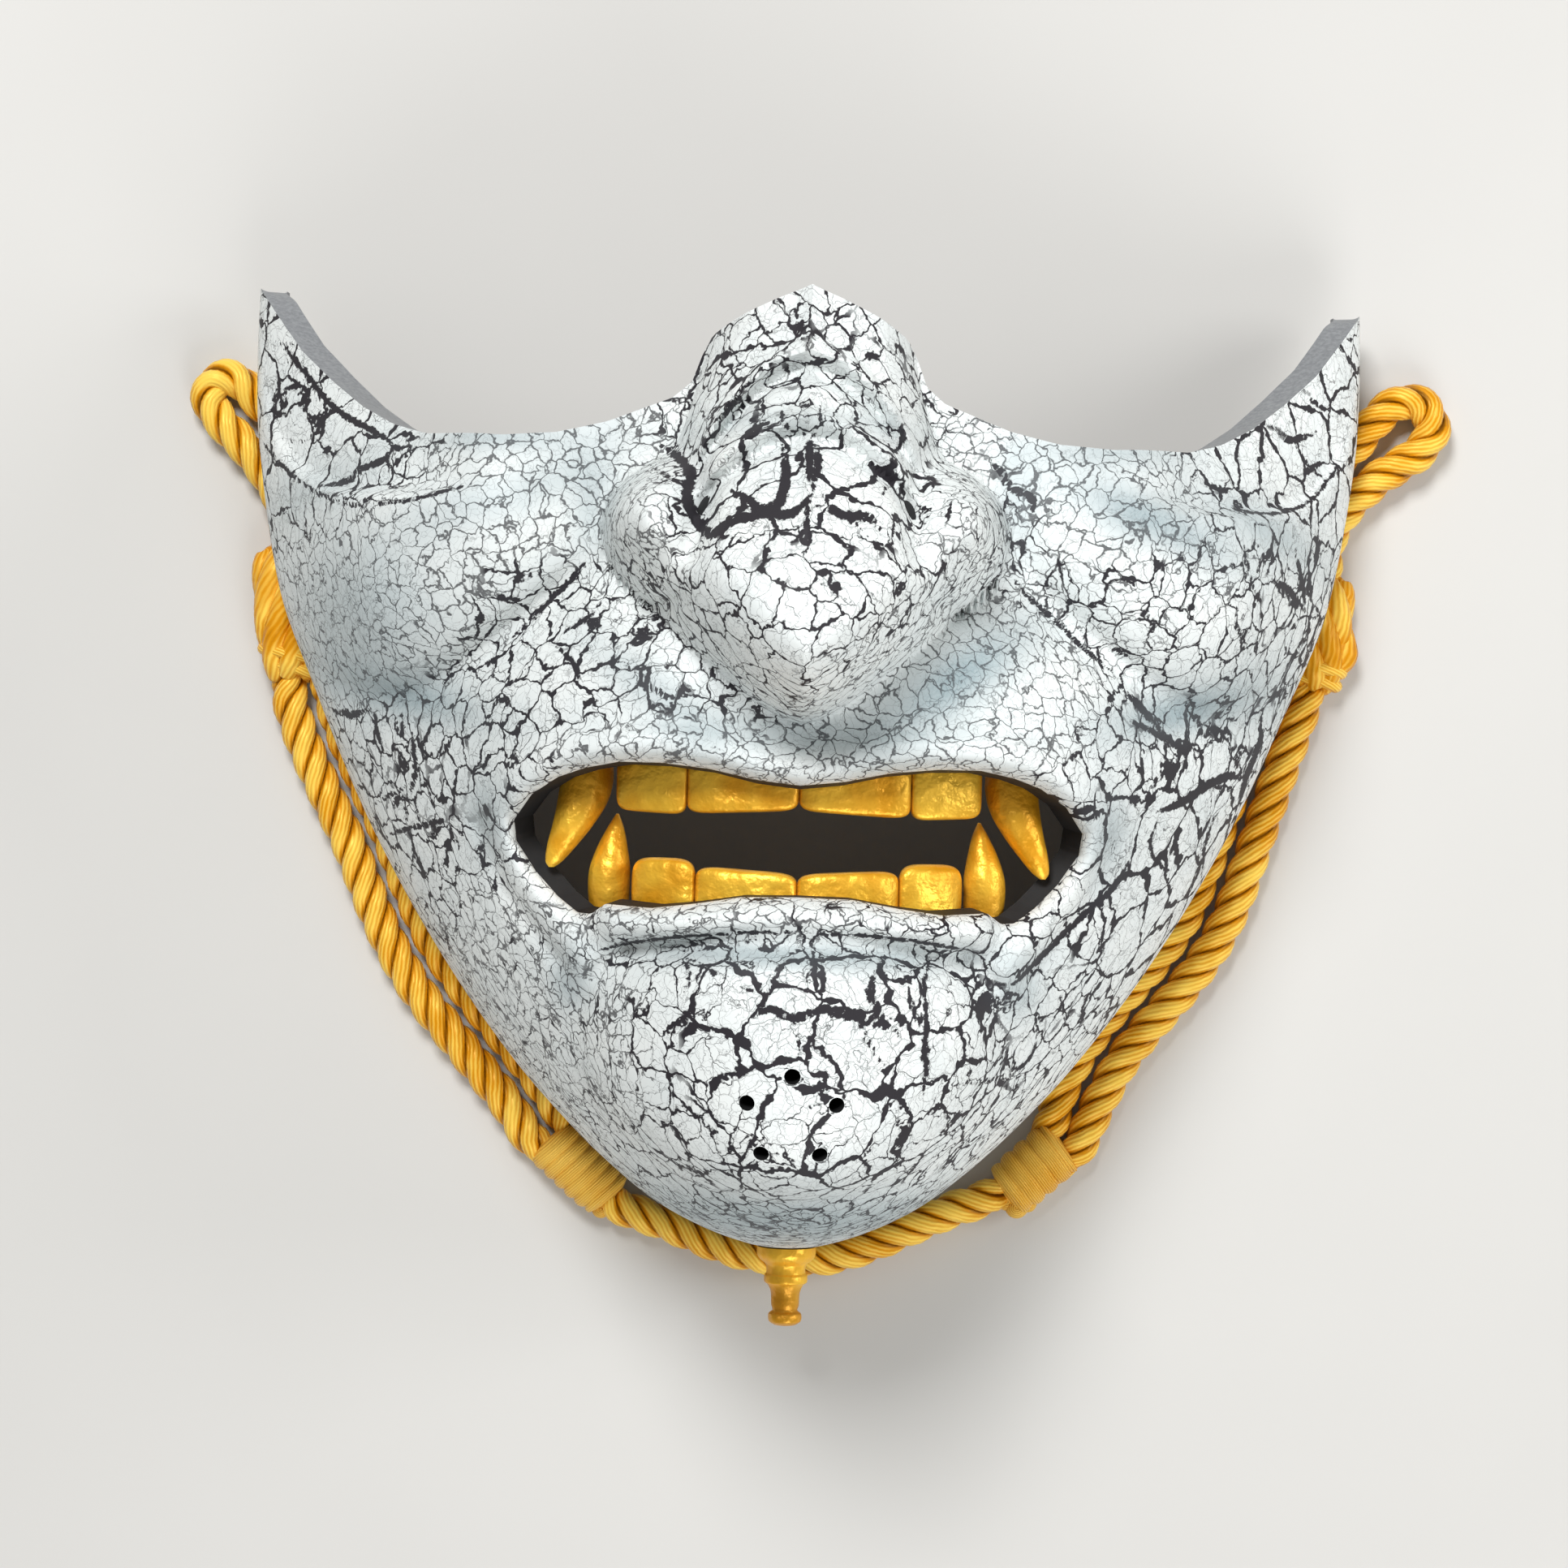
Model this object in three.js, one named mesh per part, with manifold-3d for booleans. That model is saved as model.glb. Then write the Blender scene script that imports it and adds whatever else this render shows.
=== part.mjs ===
// A half-mask face guard: a hollow moulded shell that covers nose, cheeks, mouth and chin, with gilt teeth and
// fangs behind the lips, a turned peg under the chin, and a twisted tie rope laid round the back rim.
// Millimetres. The mask lies on its back rim: +X across the face, +Y from the chin to the nose bridge, +Z out of
// the face. Every form is worked out in the face's own frame, with the mouth near the origin.
import * as THREE from "three";
import { mergeVertices } from "three/addons/utils/BufferGeometryUtils.js";
import Module from "manifold-3d";

const wall = 4; // thickness of the moulded shell
const gap = 0.35; // clearance between pieces that meet
const wingBand = 3.2; // how far a wing's inner edge shows above its outer edge
const rimRise = { low: 22, high: 36, height: 7 }; // the rim leaves the surface between these heights of the face
const lean = 8.2; // how far the side turns in below its widest line
const outerRows = 24; // rows of the shell's outer surface, from the mouth to the rim
const innerRows = 9;
const lineSamples = 120;
const ropeDiameter = 6.2;
const ropeLift = 3.2; // height of the rope's centre over the surface it lies on
const roundSides = 12;

// ---------------------------------------------------------------- the face's form

// Cross-sections: the side's half width and the height of its widest line, and the centre line's depth.
const sections = [
  { y: 88, halfWidth: 87.6, side: 10, depth: 60 },
  { y: 80, halfWidth: 88, side: 10, depth: 61 },
  { y: 68, halfWidth: 88.2, side: 11, depth: 62 },
  { y: 58, halfWidth: 87.9, side: 12, depth: 63 },
  { y: 47, halfWidth: 86.6, side: 13.5, depth: 65 },
  { y: 29, halfWidth: 83.3, side: 14, depth: 69 },
  { y: 13.6, halfWidth: 77.4, side: 14, depth: 73 },
  { y: -6.9, halfWidth: 68.4, side: 14, depth: 76 },
  { y: -26.3, halfWidth: 57.4, side: 14, depth: 75 },
  { y: -44.3, halfWidth: 44.5, side: 14, depth: 73 },
  { y: -56, halfWidth: 33.8, side: 13, depth: 69.5 },
  { y: -61.5, halfWidth: 27.7, side: 13, depth: 63.5 },
  { y: -66, halfWidth: 22, side: 12, depth: 54 },
  { y: -69.7, halfWidth: 15.3, side: 12, depth: 40 },
  { y: -72, halfWidth: 9.7, side: 12, depth: 28 },
  { y: -73.4, halfWidth: 5.2, side: 12, depth: 18 },
  { y: -74, halfWidth: 0, side: 12, depth: 12 },
];

// The nose's roof over the cheeks: its height on the centre line, and how it falls away sideways.
const noseSections = [
  { y: 82, reach: 30, height: 12, power: 1.2 },
  { y: 66, reach: 30, height: 14.5, power: 1.2 },
  { y: 58, reach: 31, height: 18, power: 1.25 },
  { y: 50, reach: 33, height: 22.5, power: 1.4 },
  { y: 42, reach: 36, height: 27.5, power: 1.7 },
  { y: 34, reach: 37, height: 32, power: 2 },
  { y: 26, reach: 36, height: 34.5, power: 2.1 },
  { y: 18, reach: 34, height: 34.5, power: 2.1 },
  { y: 8, reach: 32, height: 32, power: 2.1 },
];

// Edges of the face's forms, one side's, as [x, y].
const noseOutline = [
  [0, 100], [13.6, 100], [13.4, 80], [14.2, 68], [15.8, 61], [17.6, 54], [19.8, 48.5], [24.5, 45.6], [28.6, 41.5],
  [30, 36.5], [28.6, 31.5], [24.5, 27], [20, 22.4], [14.5, 17.2], [8, 12.2], [3, 9.4], [0, 8.6],
];
const cheekEdge = [
  [14, 80], [17, 62], [22, 47], [27.5, 38], [33, 30.5], [44, 21.5], [54, 14.8], [61, 11.8], [69, 12.2], [76, 16],
  [84, 24], [92, 33],
];
const cheekBeyond = [[120, 60], [120, 110], [14, 110]]; // closes the cheek's region behind the face's edge
const mouthOutline = [
  [0, -0.2], [6.5, 0.5], [13, 1.9], [20, 2.6], [26, 2.6], [31, 1.6], [35, 0.2], [39, -2.4], [41.8, -6.2],
  [41.5, -9.4], [38.5, -13.8], [35, -17.4], [32, -19.8], [29.8, -19.9], [28.6, -17.7], [21, -18.4],
  [15, -17.6], [8, -16.4], [0, -16.2],
];
const browEdge = [
  [0, 71.5], [5, 69.6], [10, 67.4], [14.4, 65.2], [15.8, 62.5], [17.2, 58.6], [20, 56.2], [29.5, 52.6],
  [37, 50.8], [45, 50.2], [57, 51], [62.5, 52.8], [68, 56], [73.6, 60.5], [79.2, 65.7], [84.6, 72.7], [88, 77.2],
];

// Rounded swellings.
const nostrilWing = { x: 22.6, y: 35.8, rx: 9.6, ry: 12, height: 24, power: 2.2, tilt: 14, blend: 4 };
const muzzle = { x: 27, y: 11, rx: 31, ry: 15, height: 6.5, power: 2.2, tilt: -24, blend: 4 };
const chin = { x: 0, y: -41, rx: 32, ry: 20, height: 6.5, power: 4, tilt: 0, blend: 3 };
const cheek = { x: 57, y: 31, height: 12.5, rise: 9, core: 8, fade: 30 };

// Grooves and ridges along short paths.
const creases = [
  { name: "mouthCorner", path: [[47.5, -7], [42.8, -17], [35, -26.5]], width: 1.8, depth: 1.5 },
  { name: "lipEnd", path: [[24.5, -24.6], [29.5, -28.5]], width: 1.8, depth: 1.2 },
  { name: "underLip", path: [[0, -23.2], [14, -23.8], [24.5, -24.6]], width: 2, depth: 2 },
];
const ridges = [
  {
    name: "upperLip",
    path: [
      [0, 2.4], [6.5, 3.2], [13, 4.4], [20, 5], [26, 5.1], [31.5, 4.3], [36.5, 2.6], [41, -0.8], [44, -5.4],
      [44, -10],
    ],
    width: 3.3,
    height: 3,
  },
  { name: "lipSide", path: [[44, -10], [41, -15.5], [36, -21.5], [31.5, -27], [30.6, -31]], width: 3, height: 2.6 },
  { name: "lowerLip", path: [[0, -19.1], [8, -19.3], [15, -20.2], [26, -20.8]], width: 2.9, height: 3.8 },
];
const folds = [
  { y: 61.7, droop: 0.061 },
  { y: 51.3, droop: 0.042 },
];
const scoop = { x: 60, y: 75, rx: 28.8, ry: 34.5, power: 2.7, depth: 4.5 }; // the hollow under each eye
const lipRoll = 2.6;

// Lines from the mouth to the outer edge: how far along each edge they stand, and the spans to the next one.
const stations = [
  { name: "noseTop", outer: 0, mouth: 0, spans: 5 },
  { name: "bridgeFoot", outer: 23, mouth: 11, spans: 8 },
  { name: "eyeDip", outer: 52, mouth: 26, spans: 7 },
  { name: "wingTip", outer: 106, mouth: 38, spans: 6 },
  { name: "temple", outer: 137, mouth: 42, spans: 5 },
  { name: "cheekFoot", outer: 172, mouth: 46.5, spans: 4 },
  { name: "jaw", outer: 195, mouth: 51, spans: 4 },
  { name: "lowerJaw", outer: 217, mouth: 56, spans: 4 },
  { name: "lipCorner", outer: 239, mouth: 62.5, spans: 4 },
  { name: "chinSide", outer: 258, mouth: 72, spans: 3 },
  { name: "chinNear", outer: 281, mouth: 85, spans: 3 },
];

// ---------------------------------------------------------------- small maths

const clamp = (x, low, high) => Math.min(Math.max(x, low), high);
const mix = (a, b, t) => a + (b - a) * t;
const bell = (x) => Math.exp(-x * x);

function smoothStep(x) {
  const t = clamp(x, 0, 1);
  return t * t * (3 - 2 * t);
}

function softMax(a, b, blend) {
  const near = Math.max(blend - Math.abs(a - b), 0) / blend;
  return Math.max(a, b) + (near * near * blend) / 4;
}

// A curve through a table's points that never overshoots them (monotone cubic).
function tableCurve(rows, at, value) {
  const p = rows.map((r) => [r[at], r[value]]).sort((a, b) => a[0] - b[0]);
  const width = p.slice(1).map((q, i) => q[0] - p[i][0]);
  const slope = p.slice(1).map((q, i) => (q[1] - p[i][1]) / width[i]);
  const tangent = p.map((_, i) => {
    if (i === 0) return slope[0];
    if (i === p.length - 1) return slope[i - 1];
    if (slope[i - 1] * slope[i] <= 0) return 0;
    const a = 2 * width[i] + width[i - 1];
    const b = width[i] + 2 * width[i - 1];
    return (a + b) / (a / slope[i - 1] + b / slope[i]);
  });
  return (x) => {
    const c = clamp(x, p[0][0], p[p.length - 1][0]);
    let i = 0;
    while (i < width.length - 1 && c > p[i + 1][0]) i++;
    const t = (c - p[i][0]) / width[i];
    const t2 = t * t;
    const t3 = t2 * t;
    const ends = (2 * t3 - 3 * t2 + 1) * p[i][1] + (3 * t2 - 2 * t3) * p[i + 1][1];
    const bends = (t3 - 2 * t2 + t) * tangent[i] + (t3 - t2) * tangent[i + 1];
    return ends + bends * width[i];
  };
}

// A polyline with its running length, and the point at a length along it.
function measured(points) {
  const along = [0];
  points.slice(1).forEach((p, i) => along.push(along[i] + Math.hypot(p[0] - points[i][0], p[1] - points[i][1])));
  const total = along[along.length - 1];
  const pointAt = (s) => {
    const c = clamp(s, 0, total);
    let i = 0;
    while (i < along.length - 2 && c > along[i + 1]) i++;
    const t = (c - along[i]) / (along[i + 1] - along[i]);
    return [mix(points[i][0], points[i + 1][0], t), mix(points[i][1], points[i + 1][1], t)];
  };
  return { total, pointAt };
}

// A smooth curve's points through hand-set ones.
function smoothed(points) {
  const curve = new THREE.CatmullRomCurve3(points.map(([x, y]) => new THREE.Vector3(x, y, 0)), false, "catmullrom");
  return curve.getPoints((points.length - 1) * 4).map((p) => [p.x, p.y]);
}

function distanceTo(path, x, y) {
  let best = Infinity;
  for (let i = 0; i + 1 < path.length; i++) {
    const [ax, ay] = path[i];
    const [dx, dy] = [path[i + 1][0] - ax, path[i + 1][1] - ay];
    const t = clamp(((x - ax) * dx + (y - ay) * dy) / (dx * dx + dy * dy), 0, 1);
    best = Math.min(best, Math.hypot(x - ax - t * dx, y - ay - t * dy));
  }
  return best;
}

function isInside(outline, x, y) {
  let inside = false;
  outline.forEach(([ax, ay], i) => {
    const [bx, by] = outline[(i + 1) % outline.length];
    if (ay > y !== by > y && x < ((bx - ax) * (y - ay)) / (by - ay) + ax) inside = !inside;
  });
  return inside;
}

// ---------------------------------------------------------------- heights over the face

const halfWidthAt = tableCurve(sections, "y", "halfWidth");
const sideAt = tableCurve(sections, "y", "side");
const depthAt = tableCurve(sections, "y", "depth");
const noseReachAt = tableCurve(noseSections, "y", "reach");
const noseHeightAt = tableCurve(noseSections, "y", "height");
const nosePowerAt = tableCurve(noseSections, "y", "power");
const noseCurve = smoothed(noseOutline);
const cheekCurve = smoothed(cheekEdge);
const cheekRegion = [...cheekCurve, ...cheekBeyond];
const mouth = measured(mouthOutline);

// How far a point lies from the centre line towards the side: 0 to 1.
const sideShare = (x, y) => clamp(Math.abs(x) / Math.max(halfWidthAt(y), 0.01), 0, 1);

function dome(x, y) {
  const t = sideShare(x, y);
  return mix(sideAt(y), depthAt(y), Math.pow(1 - t * t, 2 / 3));
}

function swelling(s, x, y) {
  const a = THREE.MathUtils.degToRad(s.tilt);
  const [dx, dy] = [x - s.x, y - s.y];
  const u = (dx * Math.cos(a) + dy * Math.sin(a)) / s.rx;
  const v = (dy * Math.cos(a) - dx * Math.sin(a)) / s.ry;
  return s.height * (1 - Math.pow(Math.hypot(u, v), s.power));
}

// The nose over the cheeks. An inset gives the hollow inside it, without the folds.
function nose(x, y, inset) {
  let body = noseHeightAt(y) * (1 - Math.pow(x / noseReachAt(y), nosePowerAt(y)));
  if (!inset) {
    for (const fold of folds) {
      const off = y - (fold.y - fold.droop * x * x);
      body += (2 * bell(off / 1.8) - 1.4 * bell((off + 3.2) / 2)) * smoothStep((18 - x) / 5);
    }
    body = softMax(body, swelling(nostrilWing, x, y), nostrilWing.blend);
  }
  const deep = (isInside(noseCurve, x, y) ? 1 : -1) * distanceTo(noseCurve, x, y) - inset;
  const rounding = 6 + 5.5 * smoothStep((44 - y) / 16);
  const rise = Math.pow(1 - (1 - clamp(deep / rounding, 0, 1)) ** 2, 0.7);
  return deep > 0 ? body * rise : deep;
}

function cheekHeight(x, y) {
  const off = distanceTo(cheekCurve, x, y);
  const within = isInside(cheekRegion, x, y);
  const away = Math.hypot(x - cheek.x, y - cheek.y) - cheek.core;
  const ball = cheek.height * (1 - Math.exp(-Math.pow(off / cheek.rise, 1.25)));
  const valley = 2.4 * bell(off / (within ? 2.4 : 5)) * smoothStep((x - 29) / 8) * smoothStep((84 - x) / 10);
  return { height: (within ? ball : -off) * (1 - 0.92 * smoothStep(away / cheek.fade)), valley, within, off };
}

function scoopDepth(x, y) {
  const across = Math.pow(Math.abs(x - scoop.x) / scoop.rx, scoop.power);
  const up = Math.pow(Math.abs(y - scoop.y) / scoop.ry, scoop.power);
  const r = Math.pow(across + up, 1 / scoop.power);
  return scoop.depth * smoothStep((1 - r) / 0.12) * smoothStep((x - 50) / 14);
}

function outerHeight(xSigned, y) {
  const x = Math.abs(xSigned);
  const side = cheekHeight(x, y);
  const past = Math.max((side.within ? side.off : -side.off) + 2, 0);
  let relief = softMax(0, swelling(muzzle, x, y) - 3 * past, muzzle.blend);
  relief = softMax(relief, swelling(chin, x, y), chin.blend);
  relief = softMax(relief, side.height, 2) - side.valley;
  for (const c of creases) relief -= c.depth * bell(distanceTo(c.path, x, y) / c.width);
  relief = softMax(relief, nose(x, y, 0), 2) - scoopDepth(x, y);
  let lip = 0;
  for (const r of ridges) lip = softMax(lip, r.height * bell(distanceTo(r.path, x, y) / r.width), 1.2);
  const edgeLoss = Math.max(lipRoll - distanceTo(mouthOutline, x, y), 0);
  const rolled = lipRoll - Math.sqrt(lipRoll ** 2 - edgeLoss ** 2);
  return dome(x, y) + (relief + lip) * (1 - Math.pow(sideShare(x, y), 8)) - rolled;
}

function innerHeight(xSigned, y) {
  const x = Math.abs(xSigned);
  const relief = softMax(0, nose(x, y, 3), 3) - scoopDepth(x, y);
  return dome(x, y) + relief * (1 - Math.pow(sideShare(x, y), 8));
}

// The dome's outward direction, which turns level at the side.
function outward(x, y) {
  const e = 0.4;
  const pull = Math.min(1, 0.985 / Math.max(sideShare(x, y), 1e-6));
  const [px, py] = [x * pull, Math.max(y, -73.5)];
  return new THREE.Vector3(
    (dome(px - e, py) - dome(px + e, py)) / (2 * e),
    (dome(px, py - e) - dome(px, py + e)) / (2 * e),
    1,
  ).normalize();
}

// The height just behind the shell's wall, where the teeth sit.
const behindWall = (x, y) => dome(x, y) - (wall + gap) / outward(x, y).z;

// ---------------------------------------------------------------- building solids

function gridGeometry(position, index) {
  const g = new THREE.BufferGeometry();
  g.setAttribute("position", new THREE.Float32BufferAttribute(position, 3));
  g.setIndex(index);
  return g;
}

// Joins rings of points into a surface, each four-sided patch along its shorter diagonal.
function patches(rings, wrap) {
  const count = rings[0].length;
  const index = [];
  for (let i = 0; i < rings.length - (wrap ? 0 : 1); i++) {
    const j = (i + 1) % rings.length;
    for (let k = 0; k < count; k++) {
      const l = (k + 1) % count;
      const [a, b, c, d] = [i * count + k, i * count + l, j * count + k, j * count + l];
      const short = rings[i][l].distanceTo(rings[j][k]) < rings[i][k].distanceTo(rings[j][l]);
      index.push(...(short ? [a, c, b, b, c, d] : [a, c, d, a, d, b]));
    }
  }
  return index;
}

const flat = (rings) => rings.flat().flatMap((p) => [p.x, p.y, p.z]);

// A solid through rings of points, closed at each end by a fan.
function loft(rings) {
  const count = rings[0].length;
  const middle = (ring) => ring.reduce((sum, p) => sum.add(p), new THREE.Vector3()).divideScalar(count);
  const ends = [middle(rings[0]), middle(rings[rings.length - 1])];
  const index = patches(rings, false);
  const base = (rings.length - 1) * count;
  const first = rings.length * count;
  for (let k = 0; k < count; k++) {
    const l = (k + 1) % count;
    index.push(first, k, l, first + 1, base + l, base + k);
  }
  return gridGeometry([...flat(rings), ...flat([ends])], index);
}

// An ellipse of points round a centre, across two directions.
function ellipse(centre, across, up, sides) {
  return Array.from({ length: sides }, (_, k) => {
    const a = (2 * Math.PI * k) / sides;
    return centre.clone().addScaledVector(across, Math.cos(a)).addScaledVector(up, Math.sin(a));
  });
}

const wasm = await Module();
wasm.setup();

function toManifold(geometry) {
  const g = geometry.clone();
  g.deleteAttribute("normal");
  g.deleteAttribute("uv");
  const merged = mergeVertices(g, 1e-4);
  const vertProperties = new Float32Array(merged.attributes.position.array);
  const triVerts = new Uint32Array(merged.index.array);
  return new wasm.Manifold(new wasm.Mesh({ numProp: 3, vertProperties, triVerts }));
}

function fromManifold(solid) {
  const mesh = solid.getMesh();
  return gridGeometry(Array.from(mesh.vertProperties), Array.from(mesh.triVerts));
}

// ---------------------------------------------------------------- the shell

// The outer edge of one side: the brow edge, then the side's outline down to the chin.
function outerEdge() {
  const [top, foot] = [browEdge[browEdge.length - 1][1], sections[sections.length - 1].y];
  const steps = 240;
  const side = Array.from({ length: steps }, (_, i) => {
    const y = mix(top, foot, (i + 1) / steps);
    return [halfWidthAt(y), y];
  });
  return { ...measured([...browEdge, ...side]), browLength: measured(browEdge).total };
}

const edge = outerEdge();
const allStations = [...stations, { name: "chinEnd", outer: edge.total, mouth: mouth.total, spans: 0 }];
const mouthAt = tableCurve(allStations, "outer", "mouth");

// The lengths along the outer edge where the shell's lines end.
function lineLengths() {
  const lengths = [];
  stations.forEach((s, i) => {
    for (let k = 0; k < s.spans; k++) lengths.push(mix(s.outer, allStations[i + 1].outer, k / s.spans));
  });
  return [...lengths, edge.total];
}

// Points over the face from the mouth to the edge, spaced evenly along the surface and closer at the lips.
function faceLine(s, rows, height) {
  const [mx, my] = mouth.pointAt(mouthAt(s));
  const [ex, ey] = edge.pointAt(s);
  const fine = Array.from({ length: lineSamples + 1 }, (_, i) => {
    const t = i / lineSamples;
    const [x, y] = [mix(mx, ex, t), mix(my, ey, t)];
    return new THREE.Vector3(x, y, height(x, y));
  });
  const along = [0];
  fine.slice(1).forEach((p, i) => {
    const nearLip = 1 + 1.6 * bell(distanceTo(mouthOutline, p.x, p.y) / 6);
    along.push(along[i] + p.distanceTo(fine[i]) * nearLip);
  });
  const line = [];
  let at = 0;
  for (let i = 0; i <= rows; i++) {
    const want = (along[lineSamples] * i) / rows;
    while (at < lineSamples - 1 && along[at + 1] < want) at++;
    const t = clamp((want - along[at]) / (along[at + 1] - along[at]), 0, 1);
    const [x, y] = [mix(fine[at].x, fine[at + 1].x, t), mix(fine[at].y, fine[at + 1].y, t)];
    line.push(new THREE.Vector3(x, y, height(x, y)));
  }
  return line;
}

const rimHeight = (y) => rimRise.height * smoothStep((y - rimRise.low) / (rimRise.high - rimRise.low));
const leanAt = (y) => lean * smoothStep((80 - y) / 35);

// The turned-in side below a line's end, down to the rim.
function sideWall(end, steps, level) {
  return steps.map((down) => {
    const p = end.clone().addScaledVector(level, -leanAt(end.y) * smoothStep(down));
    p.z = mix(end.z, rimHeight(end.y), down);
    return p;
  });
}

function shellLine(s, side) {
  const onSide = s >= edge.browLength;
  const outer = faceLine(s, outerRows - 3, outerHeight);
  const inner = faceLine(s, innerRows - 2, innerHeight);
  const tip = outer[outer.length - 1];
  const direction = outward(tip.x, tip.y);
  const level = new THREE.Vector3(direction.x, direction.y, 0).normalize();
  const lift = wingBand * smoothStep((tip.x - 52) / 25) * smoothStep((tip.y - 44) / 8);
  inner.forEach((p, i) => {
    const near = smoothStep((i / (inner.length - 1) - 0.6) / 0.4);
    p.addScaledVector(outward(p.x, p.y), -wall);
    p.y += lift * near;
  });
  const innerTip = inner[inner.length - 1];
  if (!onSide) {
    const band = [0.2, 0.4, 0.6, 0.75, 0.9].map((t) => tip.clone().lerp(innerTip, t));
    return [...outer, ...band, ...inner.reverse()].map((p) => p.setX(p.x * side));
  }
  const outerSide = sideWall(tip, [0.35, 0.7, 1], level);
  const innerEnd = tip.clone().addScaledVector(level, -wall).setZ(innerTip.z);
  inner[inner.length - 1].copy(innerEnd);
  const innerSide = sideWall(innerEnd, [0.6, 1], level).reverse();
  return [...outer, ...outerSide, ...innerSide, ...inner.reverse()].map((p) => p.setX(p.x * side));
}

function shellBody() {
  const lengths = lineLengths();
  const rings = [
    ...lengths.map((s) => shellLine(s, 1)),
    ...lengths.slice(1, -1).reverse().map((s) => shellLine(s, -1)),
  ];
  return gridGeometry(flat(rings), patches(rings, true));
}

const chinHoles = [
  [0, -41.5], [6.4, -45.5], [-6.4, -45.5], [4.2, -52.8], [-4.2, -52.8],
];
const chinHoleRadius = 1.15;
const pegSeat = { y: -72.6, z: 19, radius: 5 };

// A straight bar of round section between two points.
function bar(from, to, radius, sides) {
  const along = to.clone().sub(from).normalize();
  const across = new THREE.Vector3(1, 0, 0);
  const up = new THREE.Vector3().crossVectors(across, along).normalize();
  across.multiplyScalar(radius);
  up.multiplyScalar(radius);
  return loft([from, to].map((p) => ellipse(p, across, up, sides)));
}

function shellGeometry() {
  let body = toManifold(shellBody());
  for (const [x, y] of chinHoles) {
    const middle = new THREE.Vector3(x, y, outerHeight(x, y));
    const out = outward(x, y);
    const [low, high] = [-2.5 * wall, wall].map((d) => middle.clone().addScaledVector(out, d));
    body = body.subtract(toManifold(bar(low, high, chinHoleRadius, roundSides)));
  }
  const [seat, below] = [pegSeat.y, pegSeat.y - 3 * wall].map((y) => new THREE.Vector3(0, y, pegSeat.z));
  body = body.subtract(toManifold(bar(seat, below, pegSeat.radius, roundSides)));
  return fromManifold(body);
}

// ---------------------------------------------------------------- teeth and fangs

// Tooth rows, one side's: where each tooth starts and ends, and its top and bottom.
const upperRow = {
  teeth: [
    { from: 0, to: 16.3, crown: 4.2, tipIn: -3.9, tipOut: -4.7 },
    { from: 16.3, to: 26.7, crown: 4.2, tipIn: -4.9, tipOut: -4.4 },
  ],
  gum: { near: 4, far: 9, reach: 37 },
};
const lowerRow = {
  teeth: [
    { from: 0, to: 14.8, crown: -19.6, tipIn: -13, tipOut: -12.2 },
    { from: 14.8, to: 24.2, crown: -19.6, tipIn: -11.2, tipOut: -11.2 },
  ],
  gum: { near: -19.4, far: -24.5, reach: 31.5 },
};
const tooth = { depth: 6, groove: 1.1, spans: 5 };
const gumDepth = 4;

// The outline of a tooth row at one place along it: front, tip and back.
function toothSection(x, t, share) {
  const bulge = 1 - Math.pow(2 * share - 1, 6);
  const notch = tooth.groove * (1 - bulge);
  const tip = mix(t.tipIn, t.tipOut, share) + Math.sign(t.crown - t.tipIn) * notch;
  const front = behindWall(x, t.crown) - notch;
  const back = front - tooth.depth + 2 * notch;
  const shy = Math.sign(t.crown - tip) * 1.1;
  const points = [
    [t.crown, front], [mix(t.crown, tip, 0.6), front + 0.5], [tip + shy, front - 0.1], [tip, front - 1.6],
    [tip, back + 1.4], [tip + shy, back], [t.crown, back],
  ];
  return points.map(([y, z]) => new THREE.Vector3(x, y, z));
}

function gumSection(x, gum) {
  const [near, far] = [behindWall(x, gum.near), behindWall(x, gum.far)];
  return [
    [gum.near, near - 0.3], [gum.far, far - 0.3], [gum.far, far - gumDepth], [gum.near, near - gumDepth],
  ].map(([y, z]) => new THREE.Vector3(x, y, z));
}

function rowGeometry(row) {
  const places = [];
  for (const t of row.teeth) {
    for (let i = 0; i <= tooth.spans; i++) {
      const share = 0.5 - 0.5 * Math.cos((Math.PI * i) / tooth.spans);
      places.push([mix(t.from, t.to, clamp(share, 0.01, 0.99)), t, share]);
    }
  }
  const mirrored = [...places].reverse().map(([x, t, share]) => [-x, t, share]);
  const facing = row.gum.far > row.gum.near ? 1 : -1;
  const ringOf = ([x, t, share]) => (facing > 0 ? toothSection(x, t, share).reverse() : toothSection(x, t, share));
  const crowns = loft([...mirrored, ...places].map(ringOf));
  const gumPlaces = Array.from({ length: 17 }, (_, i) => mix(-row.gum.reach, row.gum.reach, i / 16));
  const gumRings = gumPlaces.map((x) => (facing > 0 ? gumSection(x, row.gum) : gumSection(x, row.gum).reverse()));
  return fromManifold(toManifold(crowns).add(toManifold(loft(gumRings))));
}

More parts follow.
